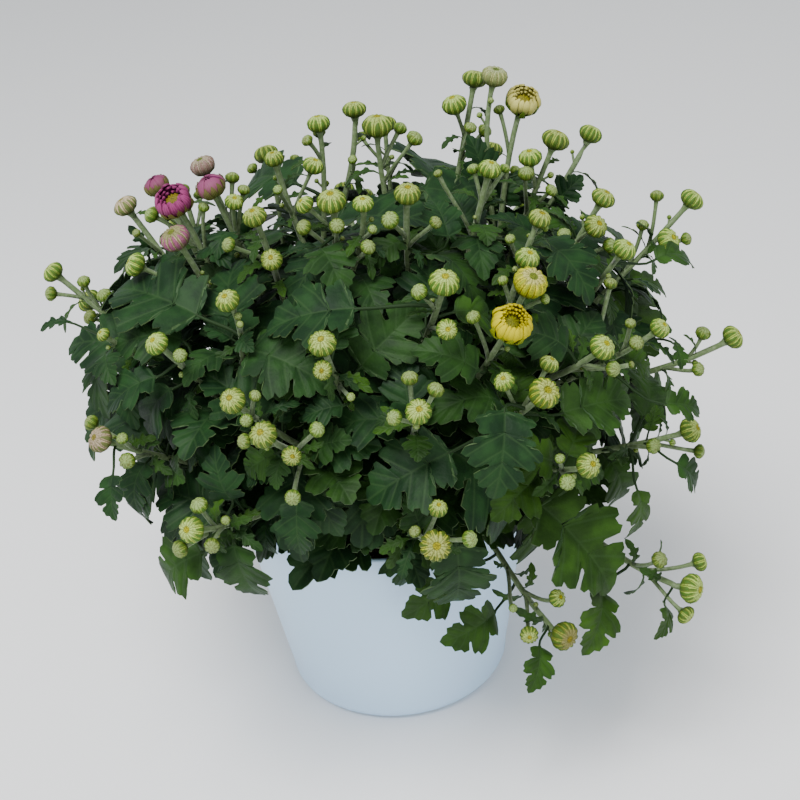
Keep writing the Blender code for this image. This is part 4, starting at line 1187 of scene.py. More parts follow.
def place_seen_leaves(rows, rng, clear, glance, routes, room, leaves):
    """Places leaves from a list, shifted a little where one isn't clear. Those behind glance forward."""
    for row in rows:
        for attempt in range(PLACE_TRIES):
            loose = 0 if attempt == 0 else 0.0015 + 0.00012 * attempt
            shift = Vector([rng.gauss(0, loose) for _ in range(3)])
            base = polar(*row.base) + shift
            tip = base + (polar(*row.tip) - polar(*row.base)) * (1 - 0.006 * attempt)
            form = BLADE_FORMS[row.form]
            end = blade_point(1, 0, form)
            chord = unit(tip - base)
            light = unit(unit(base - CROWN) + Vector((0, -glance * (base.y > 0), 0.45)))
            flat = square_to(chord, light)
            raised = math.atan2(-end.z, end.x)
            way = chord * math.cos(raised) + flat * math.sin(raised)
            up = flat * math.cos(raised) - chord * math.sin(raised)
            name, number, share, foot = nearest_foot(base, way, up.cross(way), routes)
            length = (tip - base).length / end.length
            leaf = Placed(name, number, share, foot, base, way, up, length, row.form)
            if over_the_soil(leaf_sheet(leaf)[0]) and take_leaf(leaf, room, leaves, clear):
                break


def grow_leaf(name, number, route, rng, shares, lengths, room, leaves, tries):
    """Picks, out of seeded places along a stem, the clear one that is furthest from other leaves."""
    best = None
    for _ in range(tries):
        share = rng.uniform(*shares)
        foot, stem_way = along(route, share)
        away = Vector((foot.x, foot.y, 0.3 * (foot.z - CROWN.z)))
        away = square_to(stem_way, away)
        turn = rng.uniform(-LEAF_SWING, LEAF_SWING)
        pitch = math.radians(rng.uniform(*LEAF_PITCHES))
        heading = away * math.cos(turn) + stem_way.cross(away) * math.sin(turn)
        way = unit(stem_way * math.cos(pitch) + heading * math.sin(pitch))
        shake = shaken(rng, 0.35)
        light = unit(Vector((foot.x * 6, foot.y * 6, 1)) + shake)
        length = rng.uniform(*lengths)
        form = rng.randrange(len(BLADE_FORMS))
        if abs(light.dot(way)) > NEAR_EDGE_ON:
            continue
        up = square_to(way, light)
        leaf = Placed(name, number, share, foot, foot + way * (PETIOLE * length), way, up, length, form)
        sheet, faces = leaf_sheet(leaf)
        middle = sheet[-2]
        others = [other.base.lerp(other.base + other.way * other.length, 0.4) for other in leaves]
        spread = min([(middle - other).length for other in others])
        score = min(spread, 0.05) + 0.25 * (middle - CROWN).length
        if (best and score <= best[0]) or not in_canopy(sheet) or not over_the_soil(sheet):
            continue
        blade, petiole = leaf_guard(leaf, sheet, faces, LEAF_CLEAR)
        if room.clear(*blade) and room.clear(*petiole, (name,)):
            best = score, leaf
    return best[1] if best else None


def plan_leaves(sprays, routes, room):
    """The leaves that the solids have: the listed ones, then more on stems that have too few."""
    leaves = []
    place_seen_leaves(LEAVES, random.Random(SEED + 2), LEAF_CLEAR, 0, routes, room, leaves)
    rng = random.Random(SEED + 3)
    for name in sprays:
        carried = sum(leaf.stem == name for leaf in leaves)
        for number, count in enumerate(SEEN_SHOOT_LEAVES if name in SPRAYS else REAR_SHOOT_LEAVES):
            for turn in range(max(count - carried, 0)):
                low = 0.34 + 0.22 * turn
                shares = (low, low + 0.3)
                for lengths in BLADE_LENGTHS:
                    route = routes[name, number]
                    leaf = grow_leaf(name, number, route, rng, shares, lengths, room, leaves, LEAF_TRIES)
                    if leaf:
                        break
                if leaf:
                    take_leaf(leaf, room, leaves)
    return leaves


leaves = plan_leaves(sprays, routes, room)
CAD_LEAVES = len(leaves)

# Between them the plant is crowded with further leaves, about one a centimetre of stem, that wind
# round it. One that would cross another part, or stand over a bud, is not grown.
FILL_CLEAR = 0.0003
FILL_STEP = 0.0085
FILL_TRIES = 5
FILL_LENGTHS = (0.044, 0.032, 0.020)
FILL_PITCHES = (42, 86)
FILL_FROM = 0.16
FILL_SPAN = 0.78
FILL_SIZES = (0.8, 1.15)
FILL_PETIOLES = (0.22, 0.4)
SHORTEST_FILL_PETIOLE = 0.005
FILL_NEAR_EDGE_ON = 0.9
SMALL_LEAF_GLANCE = 1.5
BUD_SHADE = 0.06
SPIRAL = math.radians(137.5)
bud_heads = [(centre, axis, width) for _, _, centre, axis, width in ends]
bud_heads += [(stalk.bud, stalk.aim, stalk.size) for stalk in stalks]
eye_place = camera_place.translation
from_camera = camera_place.inverted()
LEAF_LINE_TURNS = 430
LEAF_LINE_LEFT = 212
LEAF_LINE_RIGHT = 160


def shades_a_bud(blade):
    """Whether a blade stands close over a bud, on the side it opens to or is seen from."""
    tree = BVHTree.FromPolygons(*blade)
    for centre, aim, width in bud_heads:
        for way in (aim, unit(eye_place - centre)):
            if tree.ray_cast(centre, way, BUD_SHADE)[0] is not None:
                return True
    return False


def rises_too_high(sheet):
    """Whether a blade shows above the leaf line, over which the photograph has bare stems alone."""
    for point in sheet:
        seen = from_camera @ point
        across = FRAME_PIXELS / 2 - FOCAL_PIXELS * seen.x / seen.z
        down = FRAME_PIXELS / 2 + FOCAL_PIXELS * seen.y / seen.z
        if down < (LEAF_LINE_LEFT if across < LEAF_LINE_TURNS else LEAF_LINE_RIGHT):
            return True
    return False


def fill_with_leaves(routes, room, leaves):
    """The listed small leaves, then further ones wound round every stem, the large ones first."""
    rng = random.Random(SEED + 4)
    place_seen_leaves(SMALL_LEAVES, rng, FILL_CLEAR, SMALL_LEAF_GLANCE, routes, room, leaves)
    for full_length in FILL_LENGTHS:
        for (name, number), route in routes.items():
            length = route_length(route)
            start_turn = rng.uniform(0, 6.28)
            count = int(length * 0.8 / FILL_STEP)
            for order in range(count):
                for attempt in range(FILL_TRIES):
                    share = FILL_FROM + FILL_SPAN * (order + rng.uniform(0, 0.9)) / count
                    foot, stem_way = along(route, share)
                    side = unit(stem_way.orthogonal())
                    turn = start_turn + SPIRAL * order + rng.uniform(-0.9, 0.9) * attempt
                    heading = Quaternion(stem_way, turn) @ side
                    outward = unit(foot - CROWN + Vector((0, 0, 0.03)))
                    heading = unit(heading + outward * 0.35)
                    pitch = math.radians(rng.uniform(*FILL_PITCHES))
                    way = unit(stem_way * math.cos(pitch) + heading * math.sin(pitch))
                    shake = shaken(rng, 0.4)
                    light = unit(outward + Vector((0, 0, 0.5)) + shake)
                    if abs(light.dot(way)) > FILL_NEAR_EDGE_ON:
                        continue
                    young = min(1, 1.25 - 0.75 * share)
                    blade_length = full_length * rng.uniform(*FILL_SIZES) * young
                    up = square_to(way, light)
                    petiole = max(rng.uniform(*FILL_PETIOLES) * blade_length, SHORTEST_FILL_PETIOLE)
                    base = foot + way * petiole
                    form = rng.randrange(len(BLADE_FORMS))
                    leaf = Placed(name, number, share, foot, base, way, up, blade_length, form)
                    sheet, faces = leaf_sheet(leaf)
                    if not in_canopy(sheet) or not over_the_soil(sheet) or rises_too_high(sheet):
                        continue
                    blade, _ = leaf_guard(leaf, sheet, faces, FILL_CLEAR)
                    if not room.clear(*blade) or shades_a_bud(blade):
                        continue
                    if take_leaf(leaf, room, leaves, FILL_CLEAR):
                        break


fill_with_leaves(routes, room, leaves)

# The outlines of the blades that are shown: half of each from base to tip, as shares of its length.
# The broad one is for large leaves, the lobed one for smaller and the narrow one for the smallest.
BROAD = (
    (0.00, 0.02), (0.05, 0.05), (0.08, 0.13), (0.06, 0.2), (0.09, 0.24),
    (0.135, 0.23), (0.12, 0.3), (0.16, 0.355), (0.215, 0.34), (0.225, 0.285),
    (0.265, 0.32), (0.305, 0.305), (0.325, 0.25), (0.31, 0.19), (0.315, 0.14),
    (0.345, 0.145), (0.36, 0.21), (0.35, 0.285), (0.375, 0.345), (0.42, 0.35),
    (0.435, 0.315), (0.44, 0.39), (0.475, 0.455), (0.53, 0.465), (0.565, 0.42),
    (0.565, 0.37), (0.615, 0.39), (0.655, 0.37), (0.675, 0.315), (0.655, 0.255),
    (0.63, 0.195), (0.63, 0.145), (0.66, 0.135), (0.69, 0.175), (0.7, 0.235),
    (0.735, 0.285), (0.785, 0.275), (0.795, 0.225), (0.84, 0.235), (0.885, 0.215),
    (0.895, 0.155), (0.89, 0.12), (0.94, 0.115), (0.975, 0.075), (1.00, 0.00),
)
LOBED = (
    (0.00, 0.02), (0.06, 0.06), (0.07, 0.19), (0.12, 0.29), (0.20, 0.34),
    (0.25, 0.29), (0.30, 0.30), (0.32, 0.24), (0.31, 0.14), (0.35, 0.17),
    (0.36, 0.29), (0.40, 0.36), (0.45, 0.43), (0.52, 0.46), (0.57, 0.40),
    (0.63, 0.385), (0.665, 0.31), (0.63, 0.16), (0.68, 0.16), (0.71, 0.26),
    (0.78, 0.28), (0.81, 0.22), (0.88, 0.215), (0.90, 0.12), (0.96, 0.09),
    (1.00, 0.00),
)
NARROW = (
    (0.00, 0.02), (0.15, 0.04), (0.28, 0.07), (0.34, 0.17), (0.42, 0.20),
    (0.45, 0.12), (0.52, 0.09), (0.60, 0.20), (0.68, 0.23), (0.70, 0.13),
    (0.76, 0.10), (0.84, 0.14), (0.92, 0.11), (0.97, 0.05), (1.00, 0.00),
)
BLADE_CREASE = math.radians(55)
VEIN_SLANT = 0.55
BLADE_ROWS = (0.0, 0.5, 1.0)
PLAIN_ROWS = (0.0, 0.6, 1.0)
FINE_LENGTH = 0.031
NARROW_LENGTH = 0.016
NARROW_SHARE = 0.6
# How much the tint rises towards the lower right, so that the upper leaves keep the dark bluish green as a
# painted sky sheen.
PAINTED_SHEEN_SLOPE = 2.6
TINT_SPREAD = 0.45
RIB_SHARES = (0.12, 0.26, 0.40, 0.54)
PETIOLE_STEPS = 5
PETIOLE_RIDGES = 3
PETIOLE_RIDGE_DEPTH = 0.1
PETIOLE_GREEN = (0.011, 0.028, 0.007, 1)
# Each pair of greens is an old leaf's and a young one's, or a blade's and its veins'. The old, bluer green
# also stands on the upper leaves as a painted sky sheen.
DARK_GREENS = ((0.0050, 0.0200, 0.0060, 1), (0.0180, 0.0500, 0.0030, 1))
LIGHT_GREENS = ((0.0125, 0.0430, 0.0100, 1), (0.0340, 0.0910, 0.0045, 1))
UNDER_GREENS = ((0.026, 0.058, 0.020, 1), (0.048, 0.090, 0.034, 1))
# Painted shade that darkens the furrows along the veins.
FURROW_SHADE_GREEN = (0.005, 0.016, 0.004, 1)
VEIN_GREEN = (0.034, 0.075, 0.022, 1)
# A painted highlight, paler, on the faces of the blade's rim.
RIM_HIGHLIGHT_GREEN = (0.050, 0.085, 0.030, 1)
VEINS = ((0.05, 73), (0.29, 58), (0.47, 56), (0.62, 45), (0.76, 42))


def blade_mesh(name, outline, rows, form, rng):
    """A blade one unit long, its faces fanned from the midrib along the veins. Its map is the flat blade."""
    points, faces, flat = [], [], []
    wave = [rng.uniform(0, 6.28) for _ in range(4)]
    for sign in (1, -1):
        root = 0
        first = len(points)
        for x, y in outline:
            x, y = x + rng.uniform(-0.012, 0.012) * min(y * 8, 1), y * rng.uniform(0.93, 1.06)
            root = min(max(root + 0.004, x - VEIN_SLANT * y), 1)
            for row in rows:
                across = (root + (x - root) * row, sign * y * row)
                flat.append(across)
                place = blade_point(*across, form)
                lobe = 0.014 * math.sin(across[0] * 13 + wave[0] + 0.5 * sign) * min(abs(across[1]) * 4, 1)
                edge = 0.012 * math.sin(across[0] * 26 + wave[1]) * row**2
                curl = -0.9 * max(abs(across[1]) - 0.20, 0) ** 2 - 0.5 * max(across[0] - 0.7, 0) ** 2
                place.z += lobe + edge + curl
                points.append(tuple(place))
        width = len(rows)
        for number in range(len(outline) - 1):
            for row in range(width - 1):
                a = first + number * width + row
                corners = (a, a + width, a + width + 1, a + 1)
                faces.append(corners if sign > 0 else tuple(reversed(corners)))
    mesh = bpy.data.meshes.new(name)
    mesh.from_pydata(points, [], faces)
    shape = bmesh.new()
    shape.from_mesh(mesh)
    map_layer = shape.loops.layers.uv.new("blade")
    shape.verts.ensure_lookup_table()
    for number, vertex in enumerate(shape.verts):
        for loop in vertex.link_loops:
            loop[map_layer].uv = (flat[number][0], 0.5 + flat[number][1])
    bmesh.ops.remove_doubles(shape, verts=shape.verts, dist=0.0008)
    bmesh.ops.dissolve_degenerate(shape, edges=shape.edges, dist=0.0004)
    shape.to_mesh(mesh)
    shape.free()
    return bpy.data.objects.new(name, mesh)


def thickened(blade, thickness):
    """Gives a one-sided form its thickness, with its faces marked by side."""
    bpy.context.scene.collection.objects.link(blade)
    count = len(blade.data.polygons)
    solid = blade.modifiers.new("solid", "SOLIDIFY")
    solid.thickness = thickness
    solid.offset = 0
    mesh = settled(blade)
    made = bpy.data.objects.new(blade.name, mesh)
    bpy.data.objects.remove(blade, do_unlink=True)
    marks = mesh.attributes.new("side", "FLOAT", "FACE")
    for polygon in mesh.polygons:
        marks.data[polygon.index].value = (0, 1, 0.5)[min(polygon.index // count, 2)]
    mesh.shade_smooth()
    mesh.set_sharp_from_angle(angle=BLADE_CREASE)
    return made


rng = random.Random(SEED + 5)
blades = []
for variant, (outline, rows) in enumerate(((BROAD, BLADE_ROWS), (LOBED, PLAIN_ROWS))):
    for number, form in enumerate(BLADE_FORMS):
        sheet = blade_mesh(f"blade_{variant}_{number}", outline, rows, form, rng)
        blades.append(thickened(sheet, BLADE_THICKNESS / 0.04))
for number in range(2):
    sheet = blade_mesh(f"blade_2_{number}", NARROW, PLAIN_ROWS, BLADE_FORMS[number], rng)
    blades.append(thickened(sheet, BLADE_THICKNESS / 0.02))


def smooth_step(tree, value, low, high):
    """A soft step from 0 at the low end to 1 at the high end."""
    return ranged(tree, value, low, high, kind="SMOOTHSTEP")


def apart(tree, first, second):
    """How far two values are apart."""
    return math_node(tree, "ABSOLUTE", math_node(tree, "SUBTRACT", first, second))


def map_place(tree, name):
    """A place on the piece's own map, whole and as its two parts."""
    place = tree.nodes.new("ShaderNodeUVMap")
    place.uv_map = name
    parts = tree.nodes.new("ShaderNodeSeparateXYZ")
    tree.links.new(place.outputs["UV"], parts.inputs[0])
    return place.outputs["UV"], parts.outputs["X"], parts.outputs["Y"]


leaf_skin, tree, shader = finish_named("matt_green_blade", 0.55, 0.12)
shader.inputs["Sheen Weight"].default_value = 0.02
shader.inputs["Sheen Roughness"].default_value = 0.4
shader.inputs["Sheen Tint"].default_value = (0.6, 0.85, 1.0, 1)
_, blade_x, blade_y = map_place(tree, "blade")
off_rib = apart(tree, blade_y, 0.5)
nearest = math_node(tree, "MULTIPLY", off_rib, 0.7)
for root, angle in VEINS:
    sine, cosine = math.sin(math.radians(angle)), math.cos(math.radians(angle))
    forward = math_node(tree, "MULTIPLY", math_node(tree, "SUBTRACT", blade_x, root), sine)
    off_vein = apart(tree, forward, math_node(tree, "MULTIPLY", off_rib, cosine))
    nearest = math_node(tree, "MINIMUM", nearest, off_vein)
vein = smooth_step(tree, nearest, 0.016, 0.003)
valley = smooth_step(tree, nearest, 0.07, 0.0)
mottle = smooth_step(tree, noise_on_object(tree, 110, 4), 0.35, 0.68)
tint = attribute_node(tree, "tint")
upper = mixed(tree, mottle, mixed(tree, tint, *DARK_GREENS), mixed(tree, tint, *LIGHT_GREENS))
# Painted shade: the upper side is darkened in the furrows along its veins.
upper = mixed(tree, math_node(tree, "MULTIPLY", valley, 0.22), upper, FURROW_SHADE_GREEN)
upper = mixed(tree, math_node(tree, "MULTIPLY", vein, 0.28), upper, VEIN_GREEN)
side_mark = attribute_node(tree, "side")
whole = mixed(tree, smooth_step(tree, side_mark, 0.6, 0.9), upper, mixed(tree, vein, *UNDER_GREENS))
# Painted highlight: the faces of the blade's rim are paler.
rim = math_node(tree, "LESS_THAN", apart(tree, side_mark, 0.5), 0.1)
tree.links.new(mixed(tree, rim, whole, RIM_HIGHLIGHT_GREEN), shader.inputs["Base Color"])
grain = math_node(tree, "MULTIPLY", noise_on_object(tree, 900, 3), 0.6)
relief(tree, shader, math_node(tree, "SUBTRACT", grain, valley), 0.55, 0.0005)


def facing(way, up):
    """The turn that lays a blade along a way with its upper side up."""
    return Matrix((way, up.cross(way), up)).transposed().to_quaternion()


petiole_skin, *_ = finish_named("green_petiole", 0.6, 0.15, PETIOLE_GREEN)
petioles = {name: [] for name in sprays}
leaf_spots = {name: [] for name in sprays}
rng = random.Random(SEED + 6)
for order, leaf in enumerate(leaves):
    turned_to = facing(leaf.way, leaf.up)
    form = leaf.form + (0 if leaf.length > FINE_LENGTH else len(BLADE_FORMS))
    if leaf.length < NARROW_LENGTH and rng.random() < NARROW_SHARE:
        form = 2 * len(BLADE_FORMS) + leaf.form % 2
    size = Vector((leaf.length, leaf.length * rng.uniform(0.9, 1.06), leaf.length))
    young = min(max((leaf.share - 0.45) * 1.2, 0), 1) if order >= CAD_LEAVES else 0.25
    # Painted sky sheen: besides age and a random spread, the tint rises towards the lower right, so the upper
    # leaves stay dark bluish green.
    tint = young + PAINTED_SHEEN_SLOPE * (leaf.base.x - leaf.base.z + CROWN.z)
    tint += rng.uniform(-TINT_SPREAD, TINT_SPREAD)
    leaf_spots[leaf.stem].append((leaf.base, turned_to, size, form, min(max(tint, 0), 1.3)))
    start, way = along(smooth_routes[leaf.stem, leaf.number], leaf.share)
    reach = unit(leaf.base - start)
    leaving, arriving = unit(way * 0.4 + reach), unit(leaf.way + reach * 0.3)
    petiole = bend(start, leaving, leaf.base, arriving, PETIOLE_STEPS)
    thick = 0.00035 + 0.010 * leaf.length
    strand = [(point, thick * (1.25 - 0.25 * step / PETIOLE_STEPS)) for step, point in enumerate(petiole)]
    for share in RIB_SHARES:
        spine = blade_point(share, 0, BLADE_FORMS[leaf.form]) * leaf.length
        below = leaf.up * (0.9 * thick * (1 - share))
        strand.append((leaf.base + leaf.way * spine.x + leaf.up * spine.z - below, thick * (1 - 1.4 * share)))
    petioles[leaf.stem].append(strand)

# THE BUDS
# Flattened globes of green bracts that part over pale petals, which lie as ribs round a small eye.
# Younger buds are greener, with a pale top. Geometry Nodes set buds and leaves on their stalks.
# Each profile goes from stalk to eye: height and radius in bud widths, then how deep the ribs are.
END_BUD = (
    (-0.34, 0.00, 0.0),
    (-0.31, 0.20, 0.2),
    (-0.22, 0.38, 0.6),
    (-0.08, 0.485, 1.0),
    (0.06, 0.505, 1.2),
    (0.17, 0.455, 1.2),
    (0.26, 0.360, 1.1),
    (0.325, 0.245, 0.9),
    (0.345, 0.145, 0.6),
    (0.325, 0.075, 0.2),
    (0.315, 0.00, 0.0),
)
SIDE_BUD = (
    (-0.42, 0.00, 0.0),
    (-0.34, 0.27, 0.4),
    (-0.12, 0.475, 0.9),
    (0.10, 0.485, 1.0),
    (0.26, 0.350, 0.9),
    (0.36, 0.160, 0.5),
    (0.385, 0.00, 0.0),
)
TINY_BUD = (
    (-0.50, 0.00, 0.0),
    (-0.32, 0.36, 0.3),
    (0.05, 0.49, 0.6),
    (0.34, 0.30, 0.5),
    (0.50, 0.00, 0.0),
)
TINY_BUDS_A_SPRAY = 2
TINY_REACHES = (0.0035, 0.0065)
TINY_WIDTHS = (0.0020, 0.0034)
TINY_STALK = 0.0006
RIB_STRENGTHS = (0.55, 1.35)
RIB_SHIFT = 0.18
RIPE_SIZE = 0.0078
STALK_STEPS = 6
SPECK_BROWN = (0.09, 0.065, 0.01, 1)


def mapped(name, points, faces, places):
    """A mesh with a map that holds a place for each of its points."""
    mesh = bpy.data.meshes.new(name)
    mesh.from_pydata(points, [], faces)
    form = mesh.uv_layers.new(name="form")
    for loop in mesh.loops:
        form.data[loop.index].uv = places[loop.vertex_index]
    return mesh


def ribbed_bud(name, ribs, steps, profile, depth):
    """A bud one unit wide, its uneven ribs running from its stalk to its eye. Its map holds how far a
    point is out on a rib and how far up the bud."""
    rng = random.Random(name)
    sides = ribs * steps
    strengths = [rng.uniform(*RIB_STRENGTHS) for _ in range(ribs + 1)]
    shifts = [rng.uniform(-RIB_SHIFT, RIB_SHIFT) for _ in range(ribs)]
    shifts.append(shifts[0])
    points, faces, marks, rings = [], [], [], []
    for row, (height, radius, strength) in enumerate(profile):
        count = sides if radius else 1
        rings.append(range(len(points), len(points) + count))
        for corner in range(count):
            rib, phase = corner // steps, corner % steps / steps
            turn = 2 * math.pi * (rib + phase + shifts[rib] * (1 - phase) + shifts[rib + 1] * phase) / ribs
            ridge = math.sqrt(0.5 + 0.5 * math.cos(2 * math.pi * phase))
            furrow = depth * strength * strengths[rib] * (1 - ridge)
            out = radius * (1 - furrow)
            points.append((out * math.cos(turn), out * math.sin(turn), height - 0.25 * furrow))
            marks.append((ridge if radius else 0.5, row / (len(profile) - 1)))
    for low, high in zip(rings, rings[1:]):
        for corner in range(sides):
            after = (corner + 1) % sides
            below = [low[corner % len(low)], low[after % len(low)]]
            above = [high[after % len(high)], high[corner % len(high)]]
            faces.append(tuple(dict.fromkeys(below + above)))
    mesh = mapped(name, points, faces, marks)
    mesh.shade_smooth()
    return bpy.data.objects.new(name, mesh)


# Its groove colour is painted shade, laid in the grooves, between the petal tips and round the eye.
def bud_finish(name, foot, crest, margin, groove_shade, top, eye, eye_from=0.88):
    """A bud's finish. Green bracts, pale at their margins, taper upwards between pale petal tips, which
    meet round the eye."""
    material, tree, shader = finish_named(name, 0.6, 0.2)
    _, rib, rise = map_place(tree, "form")
    tone = noise_on_object(tree, 420, 3)
    wander = math_node(tree, "MULTIPLY_ADD", tone, 0.44, math_node(tree, "ADD", rise, -0.22))
    taper = math_node(tree, "MULTIPLY_ADD", smooth_step(tree, wander, 0.37, 0.78), 0.62, 0.42)
    bract = smooth_step(tree, math_node(tree, "SUBTRACT", rib, taper), 0.0, 0.16)
    petals = mixed(tree, smooth_step(tree, wander, 0.5, 0.68), (*margin, 1), (*top, 1))
    # Painted shade: thin dark lines between the petal tips and in the grooves between the ribs.
    split = apart(tree, math_node(tree, "FRACT", math_node(tree, "MULTIPLY", rib, 2.2)), 0.6)
    split = math_node(tree, "MULTIPLY", smooth_step(tree, split, 0.20, 0.04), 0.5)
    petals = mixed(tree, split, petals, (*groove_shade, 1))
    petals = mixed(tree, smooth_step(tree, rib, 0.24, 0.04), petals, (*groove_shade, 1))
    body = mixed(tree, bract, petals, (*crest, 1))
    body = mixed(tree, smooth_step(tree, wander, 0.42, 0.10), body, (*foot, 1))
    specks = noise_on_object(tree, 2300, 1)
    speckled = math_node(tree, "MULTIPLY", smooth_step(tree, specks, 0.56, 0.61), 0.7)
    body = mixed(tree, speckled, body, SPECK_BROWN)
    rim = math_node(tree, "MULTIPLY_ADD", specks, 0.10, rise)
    shaded_eye = tuple(0.4 * part for part in eye) + (1,)
    florets = mixed(tree, smooth_step(tree, specks, 0.42, 0.58), shaded_eye, (*eye, 1))
    body = mixed(tree, smooth_step(tree, rim, eye_from - 0.03, eye_from + 0.03), body, florets)
    # Painted shade: a dark ring round the eye.
    ringed = smooth_step(tree, apart(tree, rim, eye_from + 0.02), 0.035, 0.0)
    body = mixed(tree, math_node(tree, "MULTIPLY", ringed, 0.65), body, (*groove_shade, 1))
    shifted = tree.nodes.new("ShaderNodeHueSaturation")
    tree.links.new(body, shifted.inputs["Color"])
    tint = attribute_node(tree, "tint")
    tree.links.new(math_node(tree, "MULTIPLY_ADD", tint, 0.014, 0.497), shifted.inputs["Hue"])
    tree.links.new(math_node(tree, "MULTIPLY_ADD", tint, 0.30, 0.84), shifted.inputs["Value"])
    tree.links.new(shifted.outputs["Color"], shader.inputs["Base Color"])
    relief(tree, shader, specks, 0.4, 0.0003)
    return material


# The groove colours below are painted shade.
bud_skin = bud_finish(
    "bracts_and_petal_tips",
    foot=(0.030, 0.070, 0.008),
    crest=(0.046, 0.108, 0.008),
    margin=(0.325, 0.425, 0.060),
    groove_shade=(0.036, 0.064, 0.006),
    top=(0.335, 0.430, 0.105),
    eye=(0.300, 0.270, 0.001),
)
green_skin = bud_finish(
    "green_bracts",
    foot=(0.028, 0.068, 0.007),
    crest=(0.043, 0.100, 0.006),
    margin=(0.180, 0.270, 0.030),
    groove_shade=(0.032, 0.065, 0.005),
    top=(0.220, 0.300, 0.095),
    eye=(0.240, 0.300, 0.140),
    eye_from=2.0,
)
blushed_skin = bud_finish(
    "blushed_bracts",
    foot=(0.034, 0.060, 0.010),
    crest=(0.095, 0.120, 0.030),
    margin=(0.410, 0.300, 0.200),
    groove_shade=(0.065, 0.080, 0.020),
    top=(0.370, 0.290, 0.200),
    eye=(0.240, 0.200, 0.030),
)

scatter_tree, given, result = new_tree(
    "placed_forms",
    ("Forms", "Collection", None),
    ("Material", "Material", None),
)
SPOT_KINDS = {"turn": "FLOAT_VECTOR", "size": "FLOAT_VECTOR", "form_number": "INT", "tint": "FLOAT"}
told = {}
for label in ("turn", "size", "form_number"):
    kind = {"data_type": SPOT_KINDS[label]}
    read = add_node(scatter_tree, "GeometryNodeInputNamedAttribute", kind, name=label)
    told[label] = read.outputs["Attribute"]
pieces_of = add_node(
    scatter_tree,
    "GeometryNodeCollectionInfo",
    collection=given.outputs["Forms"],
    separate_children=True,
    reset_children=True,
)
placed = add_node(
    scatter_tree,
    "GeometryNodeInstanceOnPoints",
    points=given.outputs["Geometry"],
    instance=pieces_of.outputs[0],
    pick_instance=True,
    instance_index=told["form_number"],
    rotation=told["turn"],
    scale=told["size"],
)
finish_tree(scatter_tree, placed.outputs[0], given, result)


def strewn(name, spots, forms, material):
    """One mesh of the collection's forms; each spot is (place, turn, size, form number, tint)."""
    mesh = bpy.data.meshes.new(name)
    mesh.from_pydata([tuple(spot[0]) for spot in spots], [], [])
    for label, kind in SPOT_KINDS.items():
        mesh.attributes.new(label, kind, "POINT")
    for number, (_, turn, size, form, tint) in enumerate(spots):
        mesh.attributes["turn"].data[number].vector = turn.to_euler()
        mesh.attributes["size"].data[number].vector = size
        mesh.attributes["form_number"].data[number].value = form
        mesh.attributes["tint"].data[number].value = tint
    made = grown(in_scene(name, mesh), scatter_tree, forms=forms, material=material)
    for label in told:
        if label in made.data.attributes:
            made.data.attributes.remove(made.data.attributes[label])
    return made


def gathered(name, members):
    """A collection, left out of the scene, that holds the forms to be strewn."""
    collection = bpy.data.collections.new(name)
    for member in members:
        collection.objects.link(member)
    return collection


bud_forms = gathered(
    "bud_forms",
    [
        ribbed_bud("bud_0_ripe", 12, 6, END_BUD, 0.12),
        ribbed_bud("bud_1_ripe", 13, 6, END_BUD, 0.12),
        ribbed_bud("bud_2_green", 9, 4, SIDE_BUD, 0.12),
        ribbed_bud("bud_3_tiny", 5, 2, TINY_BUD, 0.10),
    ],
)
leaf_forms = gathered("leaf_forms", blades)


def bud_spot(centre, axis, width, form, rng):
    """A bud's spot: turned to its axis and at random round it, and not quite round."""
    spin = Quaternion((0, 0, 1), rng.uniform(0, 2 * math.pi))
    size = Vector((width, width * rng.uniform(0.95, 1.03), width * rng.uniform(0.93, 1.03)))
    return centre, axis.to_track_quat("Z", "Y") @ spin, size, form, rng.uniform(0, 1)


BRACTS_A_STEM = 3
BRACT_LENGTHS = (0.008, 0.017)


def grow_bract(name, start, way, side, rng):
    """A narrow little leaf at a fork of a stem, where it is clear of the other stems' parts."""
    side = square_to(way, side)
    aim = unit(way * rng.uniform(0.3, 1.1) + side)
    length = rng.uniform(*BRACT_LENGTHS)
    foot = start + side * MM
    stretch = [foot, foot + aim * (0.5 * length), foot + aim * length]
    if room.clear(*loft(stretch, [0.0005, 0.0015, 0.0005], 5), (name,)):
        up = square_to(aim, way)
        turned_to = facing(aim, up)
        size = Vector((length, length * rng.uniform(0.75, 1), length))
        form = 2 * len(BLADE_FORMS) + rng.randrange(2)
        leaf_spots[name].append((foot, turned_to, size, form, rng.uniform(0.4, 1)))


BLUSHED_STEMS = ("leafy_stem_03", "leafy_stem_05", "leafy_stem_07")
BLUSHED_WIDTH = 0.0105
rng = random.Random(SEED + 7)
ripe_spots = {name: [] for name in sprays}
blushed_spots = {name: [] for name in sprays}
green_spots = {name: [] for name in sprays}
for name, number, centre, axis, width in ends:
    if not sprays[name][number].bloom:
        home = blushed_spots if name in BLUSHED_STEMS and width > BLUSHED_WIDTH else ripe_spots
        home[name].append(bud_spot(centre, axis, width, rng.randrange(2), rng))
for stalk in stalks:
    home, form = (ripe_spots, rng.randrange(2)) if stalk.size > RIPE_SIZE else (green_spots, 2)
    if stalk.stem in BLUSHED_STEMS and stalk.size > BLUSHED_WIDTH:
        home = blushed_spots
    home[stalk.stem].append(bud_spot(stalk.bud, stalk.aim, stalk.size, form, rng))
    start, way = along(smooth_routes[stalk.stem, stalk.number], stalk.fork)
    stretch = bend(start, unit(way * 0.5 + unit(stalk.neck - start)), stalk.neck, stalk.aim, STALK_STEPS, 0.3)
    strand = [(point, FINE_STALK) for point in stretch[:-1]]
    strand.append((stalk.neck, FINE_STALK * 1.15))
    strand.append((stalk.bud - stalk.aim * (0.32 * stalk.size), 0.19 * stalk.size))
    strands[stalk.stem].append(strand)
    grow_bract(stalk.stem, start, way, stalk.neck - start, rng)
